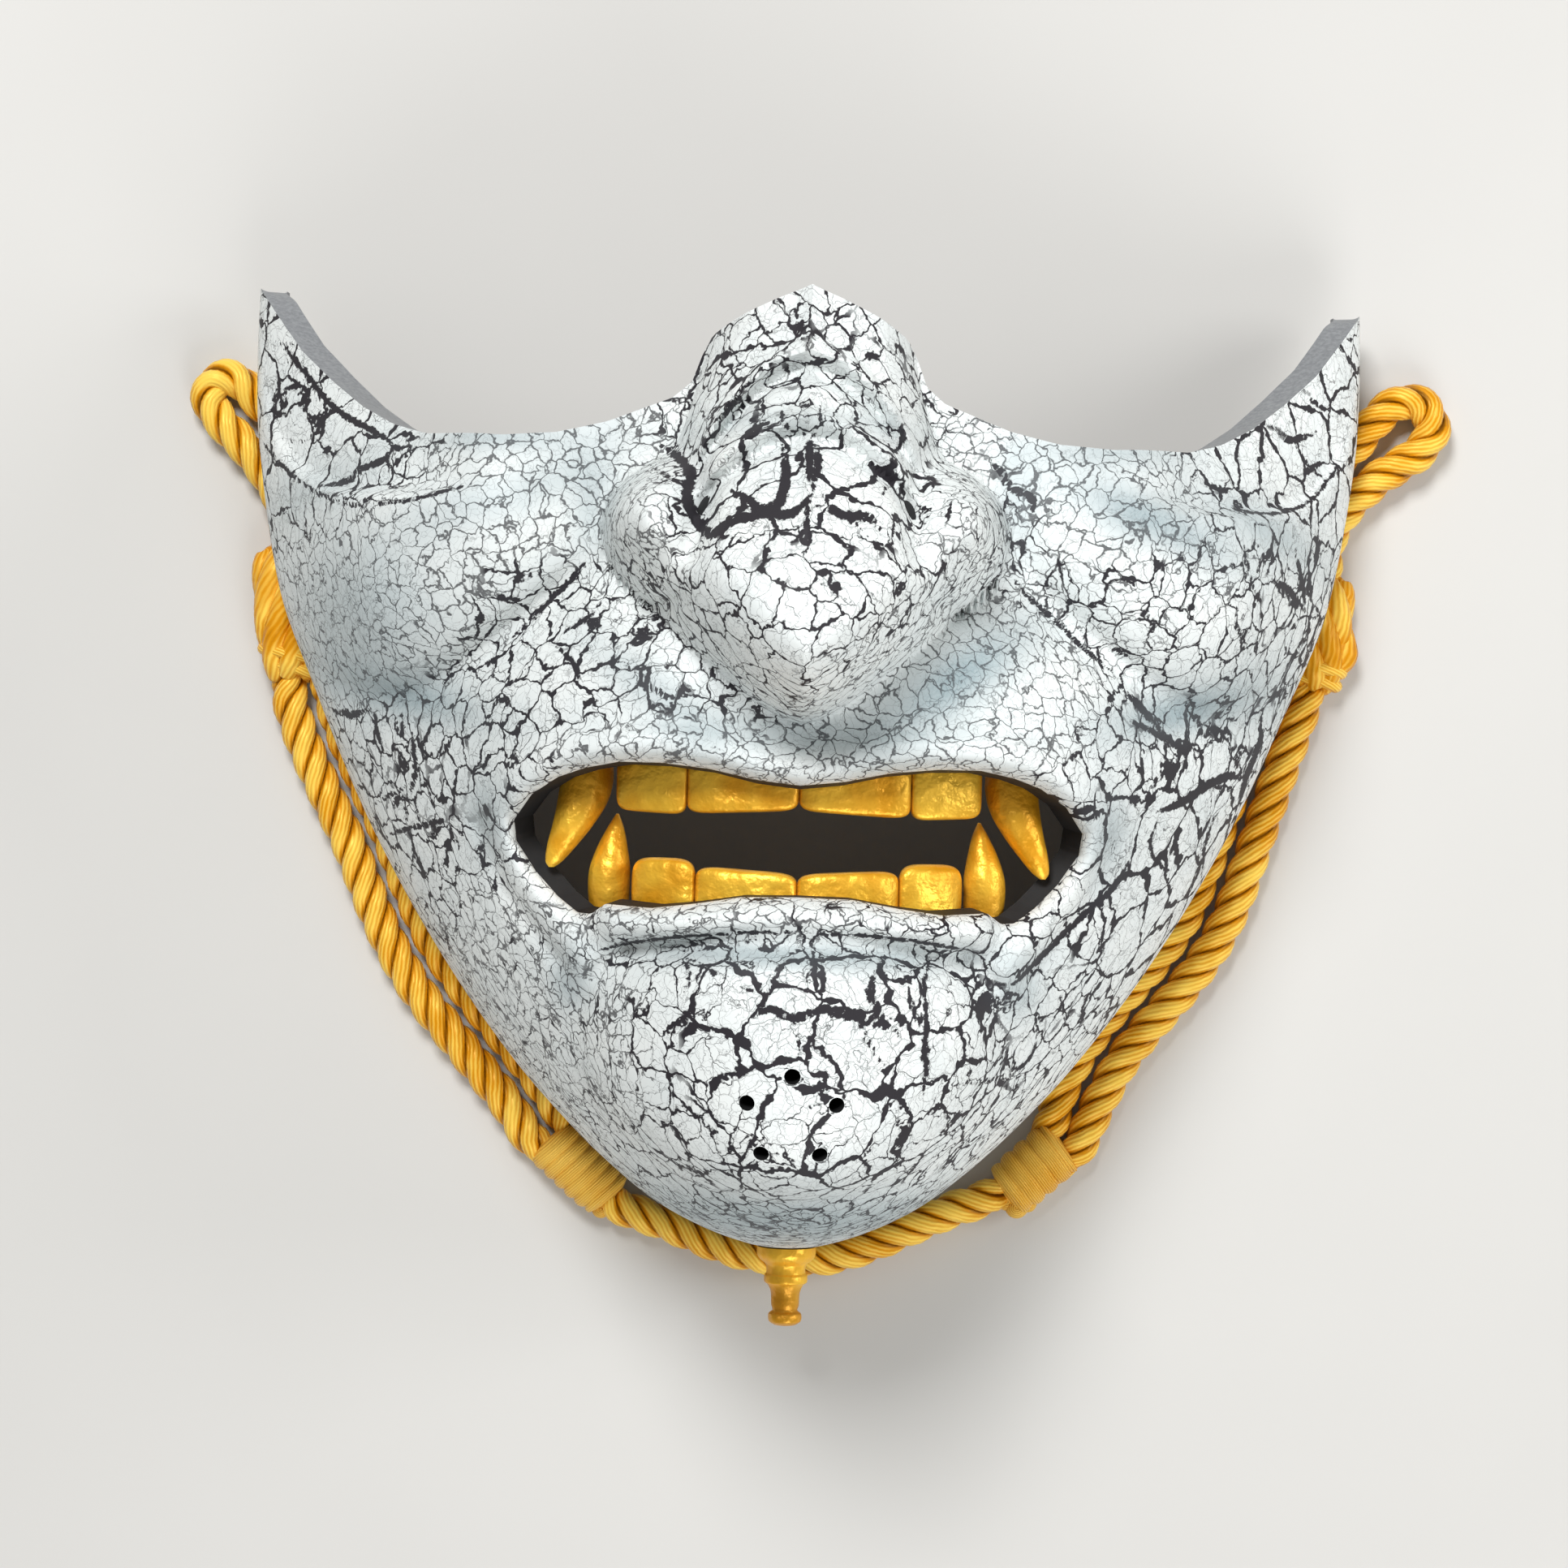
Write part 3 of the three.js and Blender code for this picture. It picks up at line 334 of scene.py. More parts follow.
def yarnMaterial(name, paintedHighlight, middle, deep, count, lean, grooveShade, depth):
    # silk-like rayon yarn, twisted: fine threads run along the strand with painted shade between them, a
    # painted highlight on the strand's crest, painted shade in its grooves, and the soft shine of a smooth
    # man-made thread
    material, tree = newMaterial(name)
    uv = addNode(tree, "UVMap", {}, uv_map="UVMap")
    parts = addNode(tree, "SeparateXYZ", {0: uv}, 0)
    u, v = parts, parts.node.outputs[1]
    # thread number = count * v + lean * u, with u in millimetres and v once round the strand
    aroundPart = addNode(tree, "Math", {0: v, 1: float(count)}, operation="MULTIPLY")
    thread = addNode(tree, "Math", {0: u, 1: lean, 2: aroundPart}, operation="MULTIPLY_ADD")
    place = addNode(tree, "TexCoord", {}, 3)
    wobble = addNode(tree, "TexNoise", {"Vector": place, "Scale": 260.0, "Detail": 3.0})
    uneven = addNode(tree, "Math", {0: wobble, 1: 1.1, 2: thread}, operation="MULTIPLY_ADD")
    turns = addNode(tree, "Math", {0: uneven, 1: 2 * math.pi}, operation="MULTIPLY")
    wave = addNode(tree, "Math", {0: turns}, operation="SINE")
    ridge = addNode(tree, "MapRange", {0: wave, 1: -1.0, 2: 0.9})
    # painted highlight along the strand's outer line, and painted shade darkening it into the grooves at its
    # sides
    angle = addNode(tree, "Math", {0: v, 1: 2 * math.pi}, operation="MULTIPLY")
    outer = addNode(tree, "Math", {0: angle}, operation="COSINE")
    crest = addNode(tree, "MapRange", {0: outer, 1: 0.0, 2: 0.8}, interpolation_type="SMOOTHSTEP")
    lit = addNode(tree, "Math", {0: crest, 1: grooveShade, 2: 1 - grooveShade}, operation="MULTIPLY_ADD")
    patch = addNode(tree, "TexNoise", {"Vector": place, "Scale": 90.0, "Detail": 2.0})
    mixing = addNode(tree, "Math", {0: ridge, 1: 0.24, 2: patch}, operation="MULTIPLY_ADD")
    share = addNode(tree, "MapRange", {0: mixing, 1: 0.35, 2: 0.8, 3: 0.4, 4: 1.0})
    both = addNode(tree, "Math", {0: share, 1: lit}, operation="MULTIPLY")
    # painted shade from the groove colour up to the middle one, then a painted highlight up to the bright one
    body = addNode(tree, "MapRange", {0: both, 1: 0.0, 2: 0.45})
    paintedGlint = addNode(tree, "MapRange", {0: both, 1: 0.5, 2: 0.95})
    base = addNode(tree, "Mix", {0: body, 6: linear(deep), 7: linear(middle)}, 2, data_type="RGBA")
    colour = addNode(tree, "Mix", {0: paintedGlint, 6: base, 7: linear(paintedHighlight)}, 2, data_type="RGBA")
    bump = addNode(tree, "Bump", {"Strength": 0.6, "Distance": depth, "Height": ridge})
    shader = addNode(tree, "BsdfPrincipled", {
        "Base Color": colour, "Roughness": 0.32, "Specular IOR Level": 0.55,
        "Specular Tint": linear("#ffd27a"), "Normal": bump})
    addNode(tree, "OutputMaterial", {"Surface": shader}, None)
    return material


ropeYarn = yarnMaterial("twisted golden rayon rope", *rope["colours"], rope["yarns"], 0.4, 0.9, 0.00011)

# The whole centre line, evenly spaced.
ropeLine = evenly(smoothed(rope["path"], 12), rope["ringSpacing"])
ropeLine = np.c_[ropeLine, np.full(len(ropeLine), rope["lift"])]
pressed = np.zeros(len(ropeLine))
for x, y, half in rope["bundles"]:
    away = np.hypot(ropeLine[:, 0] - x, ropeLine[:, 1] - y)
    pressed = np.maximum(pressed, 1 - step((away - half + 1) / 3))
size = 1 - (1 - rope["squeeze"]) * pressed
strands = [flattened(*strandSurface(
    ropeLine, rope["strandRadius"] * size, rope["strandOffset"] * size, 2 * np.pi / rope["pitch"],
    2 * np.pi * k / rope["strands"], rope["sides"])) for k in range(rope["strands"])]
ropePoints, ropeFaces, ropeUv = joined(strands)
tieRope = addPiece("tieRope", ropePoints, ropeFaces, [ropeYarn],
                   [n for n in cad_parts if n.startswith("rope_")], uv=ropeUv, sharp=180)


# The face's form.

form = {
    "wall": 4,
    "gap": 0.35,
    "wingBand": 1.4,  # how far a wing's inner edge shows above its outer one
    "lean": 8.2,  # how far the side turns in below its widest line
    "rimRise": (22, 36, 7),  # the rim leaves the surface between these heights of the face, by this much
    "lipRoll": 2.6,
    # y, half width, height of the widest line, depth of the centre line
    "sections": [
        (88, 87.6, 10, 60), (80, 88, 10, 61), (68, 88.2, 11, 62), (58, 87.9, 12, 63), (47, 86.6, 13.5, 65),
        (29, 83.3, 14, 69), (13.6, 77.4, 14, 73), (-6.9, 68.4, 14, 76), (-26.3, 57.4, 14, 75),
        (-44.3, 44.5, 14, 73), (-56, 33.8, 13, 69.5), (-61.5, 27.7, 13, 63.5), (-66, 22, 12, 54),
        (-69.7, 15.3, 12, 40), (-72, 9.7, 12, 28), (-73.4, 5.2, 12, 18), (-74, 0, 12, 12),
    ],
    # y, reach to the side, height, power of its fall
    "nose": [
        (82, 30, 12, 1.2), (66, 30, 14.5, 1.2), (58, 31, 18, 1.25), (50, 33, 22.5, 1.4),
        (42, 36, 27.5, 1.7), (34, 37, 32, 2), (26, 36, 34.5, 2.1), (18, 34, 34.5, 2.1), (8, 32, 32, 2.1),
    ],
    "noseOutline": [
        (0, 100), (13.6, 100), (13.4, 80), (14.2, 68), (15.8, 61), (17.6, 54), (19.8, 48.5), (24.5, 45.6),
        (28.6, 41.5), (30, 36.5), (28.6, 31.5), (24.5, 27), (20, 22.4), (14.5, 17.2), (8, 12.2), (3, 9.4),
        (0, 8.6),
    ],
    "cheekEdge": [
        (14, 80), (17, 62), (22, 47), (27.5, 38), (33, 30.5), (44, 21.5), (54, 14.8), (61, 11.8),
        (69, 12.2), (76, 16), (84, 24), (92, 33),
    ],
    "cheekBeyond": [(120, 60), (120, 110), (14, 110)],
    "mouth": [
        (0, -0.2), (6.5, 0.5), (13, 1.9), (20, 2.6), (26, 2.6), (31, 1.6), (35, 0.2), (39, -2.4),
        (41.8, -6.2), (41.5, -9.4), (38.5, -13.8), (35, -17.4), (32, -19.6), (30, -19.7), (27.8, -18.1),
        (21, -18.4), (15, -17.6), (8, -16.4), (0, -16.2),
    ],
    "brow": [
        (0, 71.5), (5, 69.6), (10, 67.4), (14.4, 65.2), (15.8, 62.5), (17.2, 58.6), (20, 56.2),
        (29.5, 52.6), (37, 50.8), (45, 50.2), (57, 51), (62.5, 52.8), (68, 56), (73.6, 60.5), (79.2, 65.7),
        (84.6, 72.7), (88, 77.2),
    ],
    # x, y, rx, ry, height, power, tilt, blend
    "nostrilWing": (22.6, 35.8, 9.6, 12, 24, 2.2, 14, 4),
    "muzzle": (27, 11, 31, 15, 6.5, 2.2, -24, 4),
    "chin": (0, -41, 32, 20, 6.5, 7, 0, 2),
    "cheek": (57, 31, 12.5, 9, 8, 30),  # x, y, height, rise, core, fade
    "scoop": (60, 75, 28.8, 34.5, 2.7, 6),  # x, y, rx, ry, power, depth
    "creases": [  # path, width, depth
        ([(47.5, -7), (42.8, -17), (35, -26.5)], 1.6, 1.6), ([(24.5, -24.6), (29.5, -28.5)], 1.5, 1.4),
        ([(0, -23.2), (14, -23.8), (24.5, -24.6)], 1.8, 2),
    ],
    "foldRidge": (2.4, 1.6),  # height and width of a fold's ridge
    "foldGroove": (2.4, 1.7, 3),  # depth and width of the groove below it, and how far below
    "nostrilDimple": (20.4, 25.5, 3, 1.5, 4),  # x, y, reach x, reach y, depth
    "cheekCrease": (2.4, 1.9, 5, 29, 84),  # depth, width above, width below, from x, to x
    "scoopEdge": 0.09,  # share of the scoop's reach over which its edge falls
    "scoopFrom": (46, 14),  # it starts at this x, over this distance
    "wingLift": (52, 44, 77),  # the wing's band starts at this x and y and ends at this y
    "leanTo": (80, 35),  # the lean fades out at this y, over this distance
    # groove beside the nostril's wing: path, width, depth
    "alar": ([(21.5, 50.5), (16.5, 45), (14.8, 38), (16.2, 32)], 2.3, 5),
    "ridges": [  # path, width, height
        ([(0, 2.4), (6.5, 3.2), (13, 4.4), (20, 5), (26, 5.1), (31.5, 4.3), (36.5, 2.6), (41, -0.8),
         (44, -5.4), (44, -10)], 3.3, 3),
        ([(44, -10), (41, -15.5), (36, -21.5), (31.5, -27), (30.6, -31)], 3, 2.6),
        ([(0, -19.1), (8, -19.3), (15, -20.2), (26, -20.8)], 2.9, 3.8),
    ],
    "folds": [(61.7, 0.061), (51.3, 0.042)],  # y on the centre line, droop
    # where the outer edge and the mouth's edge pair up, as lengths along each
    "stations": [
        (0, 0), (23, 11), (52, 26), (106, 38), (137, 42), (172, 46.5), (195, 51), (217, 56), (239, 62.5),
        (258, 72), (281, 85),
    ],
    "chinHoles": [(0, -41.5), (6.4, -45.5), (-6.4, -45.5), (4.2, -52.8), (-4.2, -52.8)],
    "chinHoleRadius": 1.15,
    "pegSeat": (-72.6, 19, 5),  # y, z, radius
}
sections = np.array(form["sections"], float)
noseRows = np.array(form["nose"], float)
noseCurve = smoothed(form["noseOutline"], 5)
cheekCurve = smoothed(form["cheekEdge"], 5)
cheekRegion = np.vstack([cheekCurve, form["cheekBeyond"]])


def sideShare(x, y):
    # how far out a point lies, 0 on the centre line and 1 at the side
    return np.clip(np.abs(x) / np.maximum(tableCurve(sections[:, 0], sections[:, 1], y), 0.01), 0, 1)


def dome(x, y):
    # z = side + (depth - side) * (1 - t^2)^(2/3), with t from 0 on the centre line to 1 at the side
    t = sideShare(x, y)
    side, depth = (tableCurve(sections[:, 0], sections[:, k], y) for k in (2, 3))
    return side + (depth - side) * (1 - t * t) ** (2 / 3)


def onEllipse(x, y, cx, cy, rx, ry, tilt):
    # a point's place along the two axes of a tilted ellipse, each in shares of that axis
    a = math.radians(tilt)
    u = ((x - cx) * math.cos(a) + (y - cy) * math.sin(a)) / rx
    v = ((y - cy) * math.cos(a) - (x - cx) * math.sin(a)) / ry
    return u, v


def swelling(s, x, y):
    # height * (1 - r^power), r being 1 on a tilted ellipse
    *ellipse, height, power, tilt = s[:7]
    return height * (1 - np.hypot(*onEllipse(x, y, *ellipse, tilt)) ** power)


def noseHeight(x, y, inset):
    # height * (1 - (x / reach)^power) with folds and nostril wings, rounded down to nothing at its outline
    reach, height, power = (tableCurve(noseRows[:, 0], noseRows[:, k], y) for k in (1, 2, 3))
    body = height * (1 - (x / reach) ** power)
    if inset == 0:
        for foldY, droop in form["folds"]:
            off = y - (foldY - droop * x * x)
            (high, wide), (deep, broad, below) = form["foldRidge"], form["foldGroove"]
            body = body + (high * bell(off / wide) - deep * bell((off + below) / broad)) * step((18 - x) / 5)
        body = body + bell(x / 0.9) * step((y - 30) / 8)
        body = softMax(body, swelling(form["nostrilWing"], x, y), form["nostrilWing"][7])
        path, width, depth = form["alar"]
        body = body - depth * bell(distanceTo(smoothed(path, 5), x, y) / width)
    deep = np.where(isInside(noseCurve, x, y), 1, -1) * distanceTo(noseCurve, x, y) - inset
    rounding = 6 + 5.5 * step((44 - y) / 16)
    rise = (1 - (1 - np.clip(deep / rounding, 0, 1)) ** 2) ** 0.7
    return np.where(deep > 0, body * rise, deep)


def scoopDepth(x, y):
    # the flat-bottomed hollow below the eye: r = (|u|^power + |v|^power)^(1 / power), its edge a smooth step
    cx, cy, rx, ry, power, depth = form["scoop"]
    r = (np.abs((x - cx) / rx) ** power + np.abs((y - cy) / ry) ** power) ** (1 / power)
    start, over = form["scoopFrom"]
    return depth * step((1 - r) / form["scoopEdge"]) * step((x - start) / over)


def outerHeight(xSigned, y):
    # the dome, plus soft-joined swellings, less creases, plus lip ridges, rolled over at the mouth's edge
    x = np.abs(xSigned)
    off = distanceTo(cheekCurve, x, y)
    within = isInside(cheekRegion, x, y)
    past = np.maximum(np.where(within, off, -off) + 2, 0)
    relief = softMax(0, swelling(form["muzzle"], x, y) - 3 * past, form["muzzle"][7])
    relief = softMax(relief, swelling(form["chin"], x, y), form["chin"][7])
    cx, cy, height, rise, core, fade = form["cheek"]
    ball = np.where(within, height * (1 - np.exp(-(off / rise) ** 1.25)), -off)
    relief = softMax(relief, ball * (1 - 0.92 * step((np.hypot(x - cx, y - cy) - core) / fade)), 2)
    deep, above, below, start, end = form["cheekCrease"]
    run = step((x - start) / 8) * step((end - x) / 10)
    relief = relief - deep * bell(off / np.where(within, above, below)) * run
    for path, width, depth in form["creases"]:
        relief = relief - depth * bell(distanceTo(path, x, y) / width)
    relief = softMax(relief, noseHeight(x, y, 0), 2) - scoopDepth(x, y)
    cx, cy, rx, ry, deep = form["nostrilDimple"]
    relief = relief - deep * np.exp(-((x - cx) / rx) ** 2 - ((y - cy) / ry) ** 2)
    lip = np.zeros_like(relief)
    for path, width, height in form["ridges"]:
        away = distanceTo(smoothed(path, 3), x, y) / width
        lip = softMax(lip, height * np.exp(-away ** 2.2) * step((y + 33.5) / 7), 1.2)
    roll = form["lipRoll"]
    loss = np.maximum(roll - distanceTo(form["mouth"], x, y), 0)
    return dome(x, y) + (relief + lip) * (1 - sideShare(x, y) ** 8) - (roll - np.sqrt(roll**2 - loss**2))


def innerHeight(xSigned, y):
    # the dome with a narrower nose and the scoops, without the creases and lips
    x = np.abs(xSigned)
    relief = softMax(0, noseHeight(x, y, 3), 3) - scoopDepth(x, y)
    return dome(x, y) + relief * (1 - sideShare(x, y) ** 8)


def outward(x, y):
    # the dome's normal, from differences over 0.4 mm either way
    pull = np.minimum(1, 0.985 / np.maximum(sideShare(x, y), 1e-6))
    px, py, e = x * pull, np.maximum(y, -73.5), 0.4
    n = np.stack([dome(px - e, py) - dome(px + e, py), dome(px, py - e) - dome(px, py + e),
                  np.full(np.shape(px), 2 * e)], -1)
    return unit(n)


def behindWall(x, y):
    # the dome's height less the wall and a gap, both measured square to it
    x, y = np.broadcast_arrays(np.asarray(x, float), np.asarray(y, float))
    return dome(x, y) - (form["wall"] + form["gap"]) / outward(x, y)[..., 2]


# Moulded shell.

shell = {
    "lines": 310,  # lines on each side, from the mouth's edge to the outer edge
    "samples": 260,
    "outerRows": 118,
    "innerRows": 40,
    "sideRows": 9,
}


def surfaceLines(mouthEnds, edgeEnds, rows, height):
    # rows of points on every line, even along the surface and closer at the lips
    t = np.linspace(0, 1, shell["samples"])[None, :, None]
    flat = mouthEnds[:, None] * (1 - t) + edgeEnds[:, None] * t
    fine = np.concatenate([flat, height(flat[..., 0], flat[..., 1])[..., None]], -1)
    near = 1 + 1.6 * bell(distanceTo(form["mouth"], flat[:, 1:, 0], flat[:, 1:, 1]) / 6)
    lengths = np.linalg.norm(np.diff(fine, axis=1), axis=2) * near
    along = np.concatenate([np.zeros((len(fine), 1)), np.cumsum(lengths, 1)], 1)
    want = along[:, -1:] * np.linspace(0, 1, rows)[None]
    share = np.stack([np.interp(w, a, t[0, :, 0]) for w, a in zip(want, along)])[..., None]
    flat = mouthEnds[:, None] * (1 - share) + edgeEnds[:, None] * share
    return np.concatenate([flat, height(flat[..., 0], flat[..., 1])[..., None]], -1)


def alongPath(path):
    # a function that gives points at lengths along a path, and the path's length
    path = np.array(path, float)
    at = lengthsAlong(path)
    return (lambda s: np.stack([np.interp(s, at, path[:, k]) for k in (0, 1)], -1)), at[-1]


sideY = np.linspace(form["brow"][-1][1], -74, 241)[1:]
sideX = tableCurve(sections[:, 0], sections[:, 1], sideY)
edgeAt, edgeLength = alongPath(form["brow"] + list(zip(sideX, sideY)))
browLength = alongPath(form["brow"])[1]
mouthAt, mouthLength = alongPath(form["mouth"])
stations = np.array(form["stations"] + [(edgeLength, mouthLength)], float)
along = np.linspace(0, edgeLength, shell["lines"] + 1)
along[np.argmin(np.abs(along - browLength))] = browLength
edgeEnds = edgeAt(along)
mouthEnds = mouthAt(tableCurve(stations[:, 0], stations[:, 1], along))
outerLines = surfaceLines(mouthEnds, edgeEnds, shell["outerRows"], outerHeight)
innerLines = surfaceLines(mouthEnds, edgeEnds, shell["innerRows"], innerHeight)
tips = outerLines[:, -1]
level = unit(outward(tips[:, 0], tips[:, 1])[:, :2])
liftX, liftY, liftEnd = form["wingLift"]
lift = form["wingBand"] * step((tips[:, 0] - liftX) / 25) * step((tips[:, 1] - liftY) / 8)
lift = lift * step((liftEnd - tips[:, 1]) / 4)
near = step((np.linspace(0, 1, shell["innerRows"]) - 0.6) / 0.4)
innerLines = innerLines - form["wall"] * outward(innerLines[..., 0], innerLines[..., 1])
innerLines[..., 1] += lift[:, None] * near[None]
onSide = along >= browLength - 1e-6
innerEnds = innerLines[:, -1].copy()
innerEnds[onSide, :2] = tips[onSide, :2] - form["wall"] * level[onSide]
innerLines[:, -1] = innerEnds
low, high, rise = form["rimRise"]
rim = rise * step((tips[:, 1] - low) / (high - low))
lean = form["lean"] * step((form["leanTo"][0] - tips[:, 1]) / form["leanTo"][1])


def sideRows(ends, downs):
    # below its widest line the side turns in by lean * smooth step, down to the rim
    d = np.array(downs)[None, :, None]
    flat = ends[:, None, :2] - (lean[:, None, None] * step(d)) * level[:, None]
    return np.concatenate([flat, ends[:, None, 2:] * (1 - d) + rim[:, None, None] * d], -1)


downs = np.linspace(0, 1, shell["sideRows"] + 1)[1:]
t = np.linspace(0, 1, 2 * shell["sideRows"] + 2)[1:-1][None, :, None]
band = tips[:, None] * (1 - t) + innerEnds[:, None] * t
sides = np.concatenate([sideRows(tips, downs), sideRows(innerEnds, downs)[:, ::-1]], 1)
middle = np.where(onSide[:, None, None], sides, band)
half = np.concatenate([outerLines, middle, innerLines[:, ::-1]], 1)
mirrored = half[1:-1][::-1] * [-1, 1, 1]
shellRings = np.concatenate([half, mirrored], 0)
lineCount, ringCount = shellRings.shape[:2]

# Crackle over the face: flake size from fine (0) to large (1), and how wide the cracks gape.
crackleRegions = [  # x, y, reach x, reach y, flake, gape
    (0, 64, 13, 7, 0.62, 0.55), (-9, 60, 5, 8, 0.75, 0.5), (0, 55, 12, 4, 0.45, 0.5),
    (-8, 41, 7, 6, 1.3, 0.9), (8.6, 41, 7, 6, 1.3, 0.8), (0, 26, 22, 9, 0.5, 0.5),
    (-22, 32, 8, 9, 0.3, 0.35), (22, 32, 8, 9, 0.3, 0.35), (-66, 26, 14, 13, 0, 0),
    (-74, 56, 12, 14, 1.35, 0.5), (-44, 42, 16, 8, 0.13, 0.3), (-36, 20, 12, 9, 0.5, 0.85),
    (-58, 1, 13, 13, 0.6, 0.85), (-41, -28, 12, 14, 0.3, 0.4), (2, -36, 16, 10, 0.95, 0.9),
    (-26, -39, 9, 12, 0.3, 0.4), (0, -54, 18, 7, 0.75, 0.5), (0, -66, 30, 6, 0.3, 0.7),
    (52, -11, 13, 18, 0.92, 0.9), (52, 27, 13, 10, 0.4, 0.45), (77, 25, 7, 13, 0.65, 0.9),
    (73, 54, 12, 13, 1.2, 0.6), (45, 43, 16, 8, 0.13, 0.2), (25, 15, 14, 8, 0, 0), (40, 6, 9, 6, 0.3, 0.4),
    (-20, 4.5, 14, 3, 0.2, 0.3), (20, 4.5, 14, 3, 0.2, 0.3), (0, -20, 26, 2.5, 0.25, 0.4),
    (20, -37, 9, 12, 0.8, 0.75), (36, -27, 9, 10, 0.5, 0.55), (31, 40, 5, 6, 0.5, 0.8),
    (50, 10, 6, 5, 0.6, 1), (-45, 25, 3, 9, 0.4, 1),
]
# Cool grey in the hollows, creases and undersides, partly sprayed paint and partly painted shade: how much of
# it.
sprayShadeRegions = [  # x, y, reach x, reach y, tilt, amount
    (-67, 23, 14, 14, 0, 0.6), (-60, 12, 15, 4, -14, 0.9), (58, 12.5, 15, 4, 14, 0.95),
    (22, 15.5, 14, 5, 38, 1), (-20, 12, 13, 4, -38, 0.55), (-42, 42, 16, 4, 20, 0.5),
    (50, 40, 16, 4, -20, 0.9), (-46, -6, 4, 8, 0, 0.6), (46, -6, 4, 8, 0, 0.6), (0, -24.5, 28, 2.2, 0, 0.7),
    (0, -65, 36, 6, 0, 0.85), (-45, 50, 14, 3, 0, 0.6), (45, 50, 14, 3, 0, 0.6), (0, 7.5, 22, 3, 0, 0.5),
    (-33, -30, 4, 5, 0, 0.6), (33, -30, 4, 5, 0, 0.6), (-31, 41, 3.5, 9, 0, 0.5), (31, 41, 3.5, 9, 0, 0.5),
    (0, 51, 15, 2, 0, 0.35), (-74, 44, 12, 4, 20, 0.4), (70, 40, 14, 4, -20, 0.6), (72, 16, 8, 8, 0, 0.3),
]


def regionMix(x, y, columns):
    # weighted mean over the regions, each region's weight falling as exp(-r^2) from its middle
    total, values = np.full(x.shape, 0.12), np.full((*x.shape, 2), 0.12 * 0.35)
    for cx, cy, rx, ry, *mixed in columns:
        weight = np.exp(-((x - cx) / rx) ** 2 - ((y - cy) / ry) ** 2)
        total += weight
        values += weight[..., None] * mixed
    return values / total[..., None]


def sprayShadeAmount(x, y):
    # each region leaves 1 - amount * exp(-r^2) of the white that the others left
    amount = np.zeros(x.shape)
    for *ellipse, top in sprayShadeRegions:
        u, v = onEllipse(x, y, *ellipse)
        amount = 1 - (1 - amount) * (1 - top * np.exp(-u * u - v * v))
    return amount


